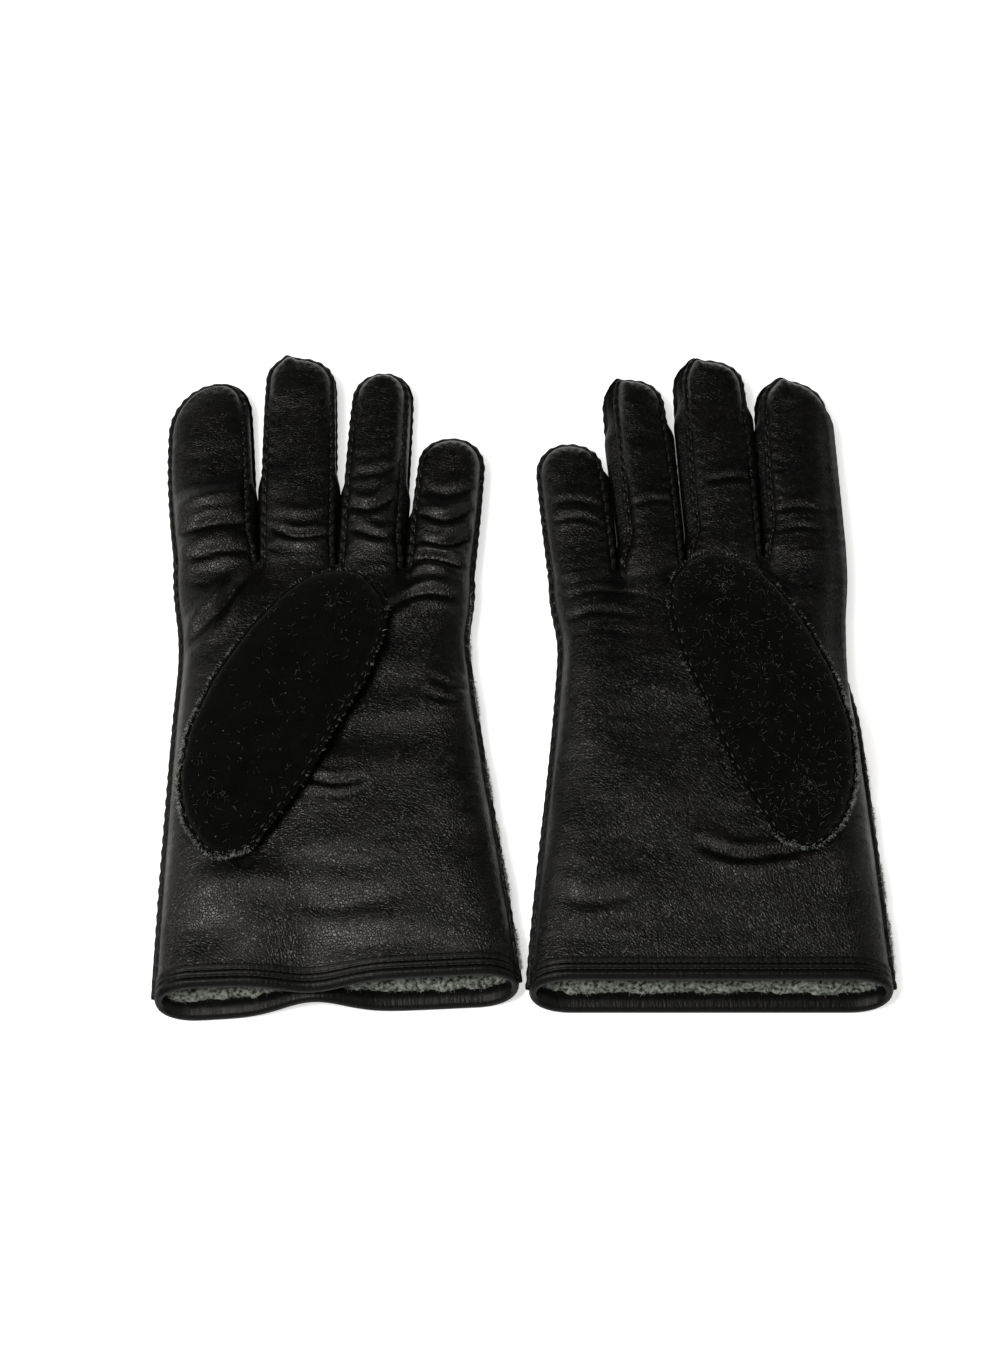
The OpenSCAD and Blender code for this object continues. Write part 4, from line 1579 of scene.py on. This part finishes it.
# ---- The two gloves ----
def left_glove() -> Glove:
    """The left glove: softer and more creased, its thumb leaning further in."""
    fingers = [
        Finger(0, -1.5, (24.0, 15.0), (2.0, 2.3), 3.0, 2.0, 1.4, 99.0, 2.0),
        Finger(1, 1.5, (13.0, 15.0), (2.5, 2.2), -2.0, 0.5, 2.2, -6.0),
        Finger(2, 5.0, (14.0, 14.0), (2.1, 2.2), 0.0, 1.5, 2.8),
        Finger(3, 7.5, (14.0, 14.0), (2.1, 2.1), 0.0, 0.0, 1.2),
    ]
    creases = (
        Crease(((-55, 188), (-47, 192), (-29, 194)), -1.9, 4.4, 0.0),
        Crease(((-55, 178), (-42, 181), (-29, 182)), 0.9, 2.2, 0.9),
        Crease(((-54, 167), (-42, 169), (-29, 170)), 0.7, 1.9, 0.8),
        Crease(((-19, 178), (-10, 174), (2, 176)), 0.9, 1.5, 0.8),
        Crease(((-20, 188), (-10, 185), (3, 187)), -0.6, 2.6, 0.0),
        Crease(((5, 189), (17, 185), (29, 193)), 0.8, 1.9, 0.8),
        Crease(((9, 177), (20, 172), (27, 175)), 0.7, 1.6, 0.8),
        Crease(((7, 202), (17, 200), (30, 203)), 0.4, 1.8),
        Crease(((36, 182), (45, 179), (57, 185)), 0.8, 1.8, 0.8),
        Crease(((34, 170), (45, 168), (54, 174)), 0.8, 1.7, 0.8),
        Crease(((36, 193), (46, 190), (58, 194)), 0.5, 2.0),
        Crease(((26, 160), (37, 163), (51, 158)), 1.0, 1.9, 0.9),
        Crease(((21, 140), (33, 147), (48, 146)), 0.9, 1.8, 0.8),
        Crease(((-32, 154), (-42, 142), (-52, 130)), 0.9, 2.4, 0.8),
        Crease(((-27, 162), (-35, 152), (-39, 138)), 0.7, 1.9, 0.8),
        Crease(((-11, 75.5), (2, 72), (11, 74)), 0.6, 1.4, 0.8),
        Crease(((-4, 69), (4, 67), (12, 69)), 0.35, 1.1),
        Crease(((-50, 35), (-32, 38), (-15, 38)), -0.9, 5.0, 0.0),
        Crease(((-11, 29), (2, 27), (20, 29)), 0.6, 3.6, 0.5),
        Crease(((36, 113), (45, 109), (54, 111)), 0.5, 1.3),
        Crease(((33, 106), (42, 103), (50, 104)), 0.35, 1.1),
    )
    return Glove(Side.LEFT, fingers, (-37.5, 43.0), 26.0, creases, 1.0, 100, 1.3, 0.3)


def right_glove() -> Glove:
    """The right glove: flatter, with fine cross wrinkles and more pale nap on its thumb."""
    fingers = [
        Finger(0, 0.5, (22.0, 14.0), (2.0, 2.3), 3.0, 2.5, 0.0, 5.0, 0.0, 1.0),
        Finger(1, 2.0, (14.0, 13.0), (2.2, 2.2), 1.0, 3.5, 0.0, 5.0),
        Finger(2, 4.0, (14.0, 13.0), (2.2, 2.2), 1.0, 4.0, 0.0, 5.5),
        Finger(3, 5.5, (14.0, 14.0), (2.1, 2.1), 0.0, 0.0),
    ]
    creases = (
        Crease(((57, 186), (46, 189), (35, 186)), 0.25, 1.5, 0.7),
        Crease(((56, 179), (44, 181), (33, 178)), 0.32, 1.3, 0.7),
        Crease(((50, 146), (36, 150), (17, 148)), 0.3, 1.1, 0.6),
        Crease(((52, 137), (36, 141), (21, 139)), 0.36, 1.5, 0.6),
        Crease(((48, 130), (36, 133), (24, 131)), 0.22, 0.9),
        Crease(((-29, 184), (-40, 186), (-52, 183)), 0.3, 1.5, 0.6),
        Crease(((-30, 176), (-40, 177), (-50, 175)), 0.3, 1.2),
        Crease(((4, 49), (-12, 44), (-35, 47)), 0.7, 1.8, 0.8),
        Crease(((53, 32), (42, 28), (24, 31)), 0.5, 2.6, 0.6),
        Crease(((24, 186), (12, 189), (1, 185)), 0.3, 1.4, 0.6),
        Crease(((-3, 197), (-18, 199), (-29, 196)), 0.35, 1.4, 0.6),
    )
    return Glove(Side.RIGHT, fingers, (-32.0, 44.0), 16.5, creases, 0.0, 200, 0.7, 0.6)


# ---- Studio ----
def area_light(name: str, at: tuple, look: tuple, size: float, power: float) -> None:
    """Adds a soft square light.

    Args:
        name: Its name.
        at, look: Where it is and what it faces, in metres.
        size: Its side, in metres.
        power: Watts.
    """
    deselect()
    bpy.ops.object.light_add(type="AREA", location=at)
    light = bpy.context.object
    light.name = name
    light.data.size = size
    light.data.energy = power
    light.data.color = linear("#fffcf7")[:3]
    light.rotation_euler = (Vector(look) - Vector(at)).to_track_quat("-Z", "Y").to_euler()


def studio() -> None:
    """A plain pale table, a pale room and soft lights."""
    deselect()
    bpy.ops.mesh.primitive_plane_add(size=6.0, location=(0, 0, 0))
    table = bpy.context.object
    table.name = "table"
    material, tree, shader, where = new_material("white_paper")
    tone = node(tree, "TexNoise", {"Vector": where, "Scale": per(60.0), "Detail": 2.0})
    feed(shader, {
        "Base Color": node(tree, "Mix", {0: tone, 6: linear("#fafafa"), 7: linear("#ffffff")}, 2,
                           data_type="RGBA"),
        "Roughness": 0.9,
        "Specular IOR Level": 0.0,
        "Emission Color": linear("#ffffff"),
        "Emission Strength": 0.6,
    })
    table.data.materials.append(material)
    world = bpy.data.worlds.new("pale_room")
    bpy.context.scene.world = world
    world.use_nodes = True
    background = world.node_tree.nodes["Background"]
    background.inputs[0].default_value = linear("#f4f5f6")
    background.inputs[1].default_value = 0.035
    area_light("window_left", (-1.3, 0.1, 0.85), (0.0, 0.0, 0.0), 0.9, 5.0)
    area_light("window_right", (1.3, -0.1, 0.85), (0.0, 0.0, 0.0), 0.9, 4.0)
    area_light("front", (0.0, -1.5, 0.75), (0.0, 0.0, 0.0), 0.9, 2.0)
    area_light("softbox", (-0.3, -0.1, 1.15), (-0.1, 0.0, 0.0), 0.4, 3.9)
    area_light("glint", (-0.4, -0.36, 1.05), (-0.07, 0.03, 0.0), 0.26, 5.6)


def camera() -> None:
    """The camera, looking down at the pair from the cuffs' side."""
    target = Vector((-4.7, -6.7, 8.0)) * MM
    distance, elevation = 0.820, math.radians(64.0)
    back = Vector((0.0, -math.cos(elevation), math.sin(elevation)))
    deselect()
    bpy.ops.object.camera_add(location=target + back * distance)
    eye = bpy.context.object
    eye.name = "camera"
    eye.rotation_euler = (-back).to_track_quat("-Z", "Y").to_euler()
    eye.data.sensor_width = 36.0
    eye.data.lens = 59.56
    eye.data.clip_start = 0.01
    bpy.context.scene.camera = eye
    bpy.context.scene.view_settings.view_transform = "Standard"


def main() -> None:
    """Builds the pair and the studio in order."""
    logging.basicConfig(level=logging.INFO, format="%(message)s")
    camera()
    for glove in (left_glove(), right_glove()):
        glove.build()
        log.info("the %s glove is whole", glove.side.value)
    studio()


if __name__ == "__main__":
    main()
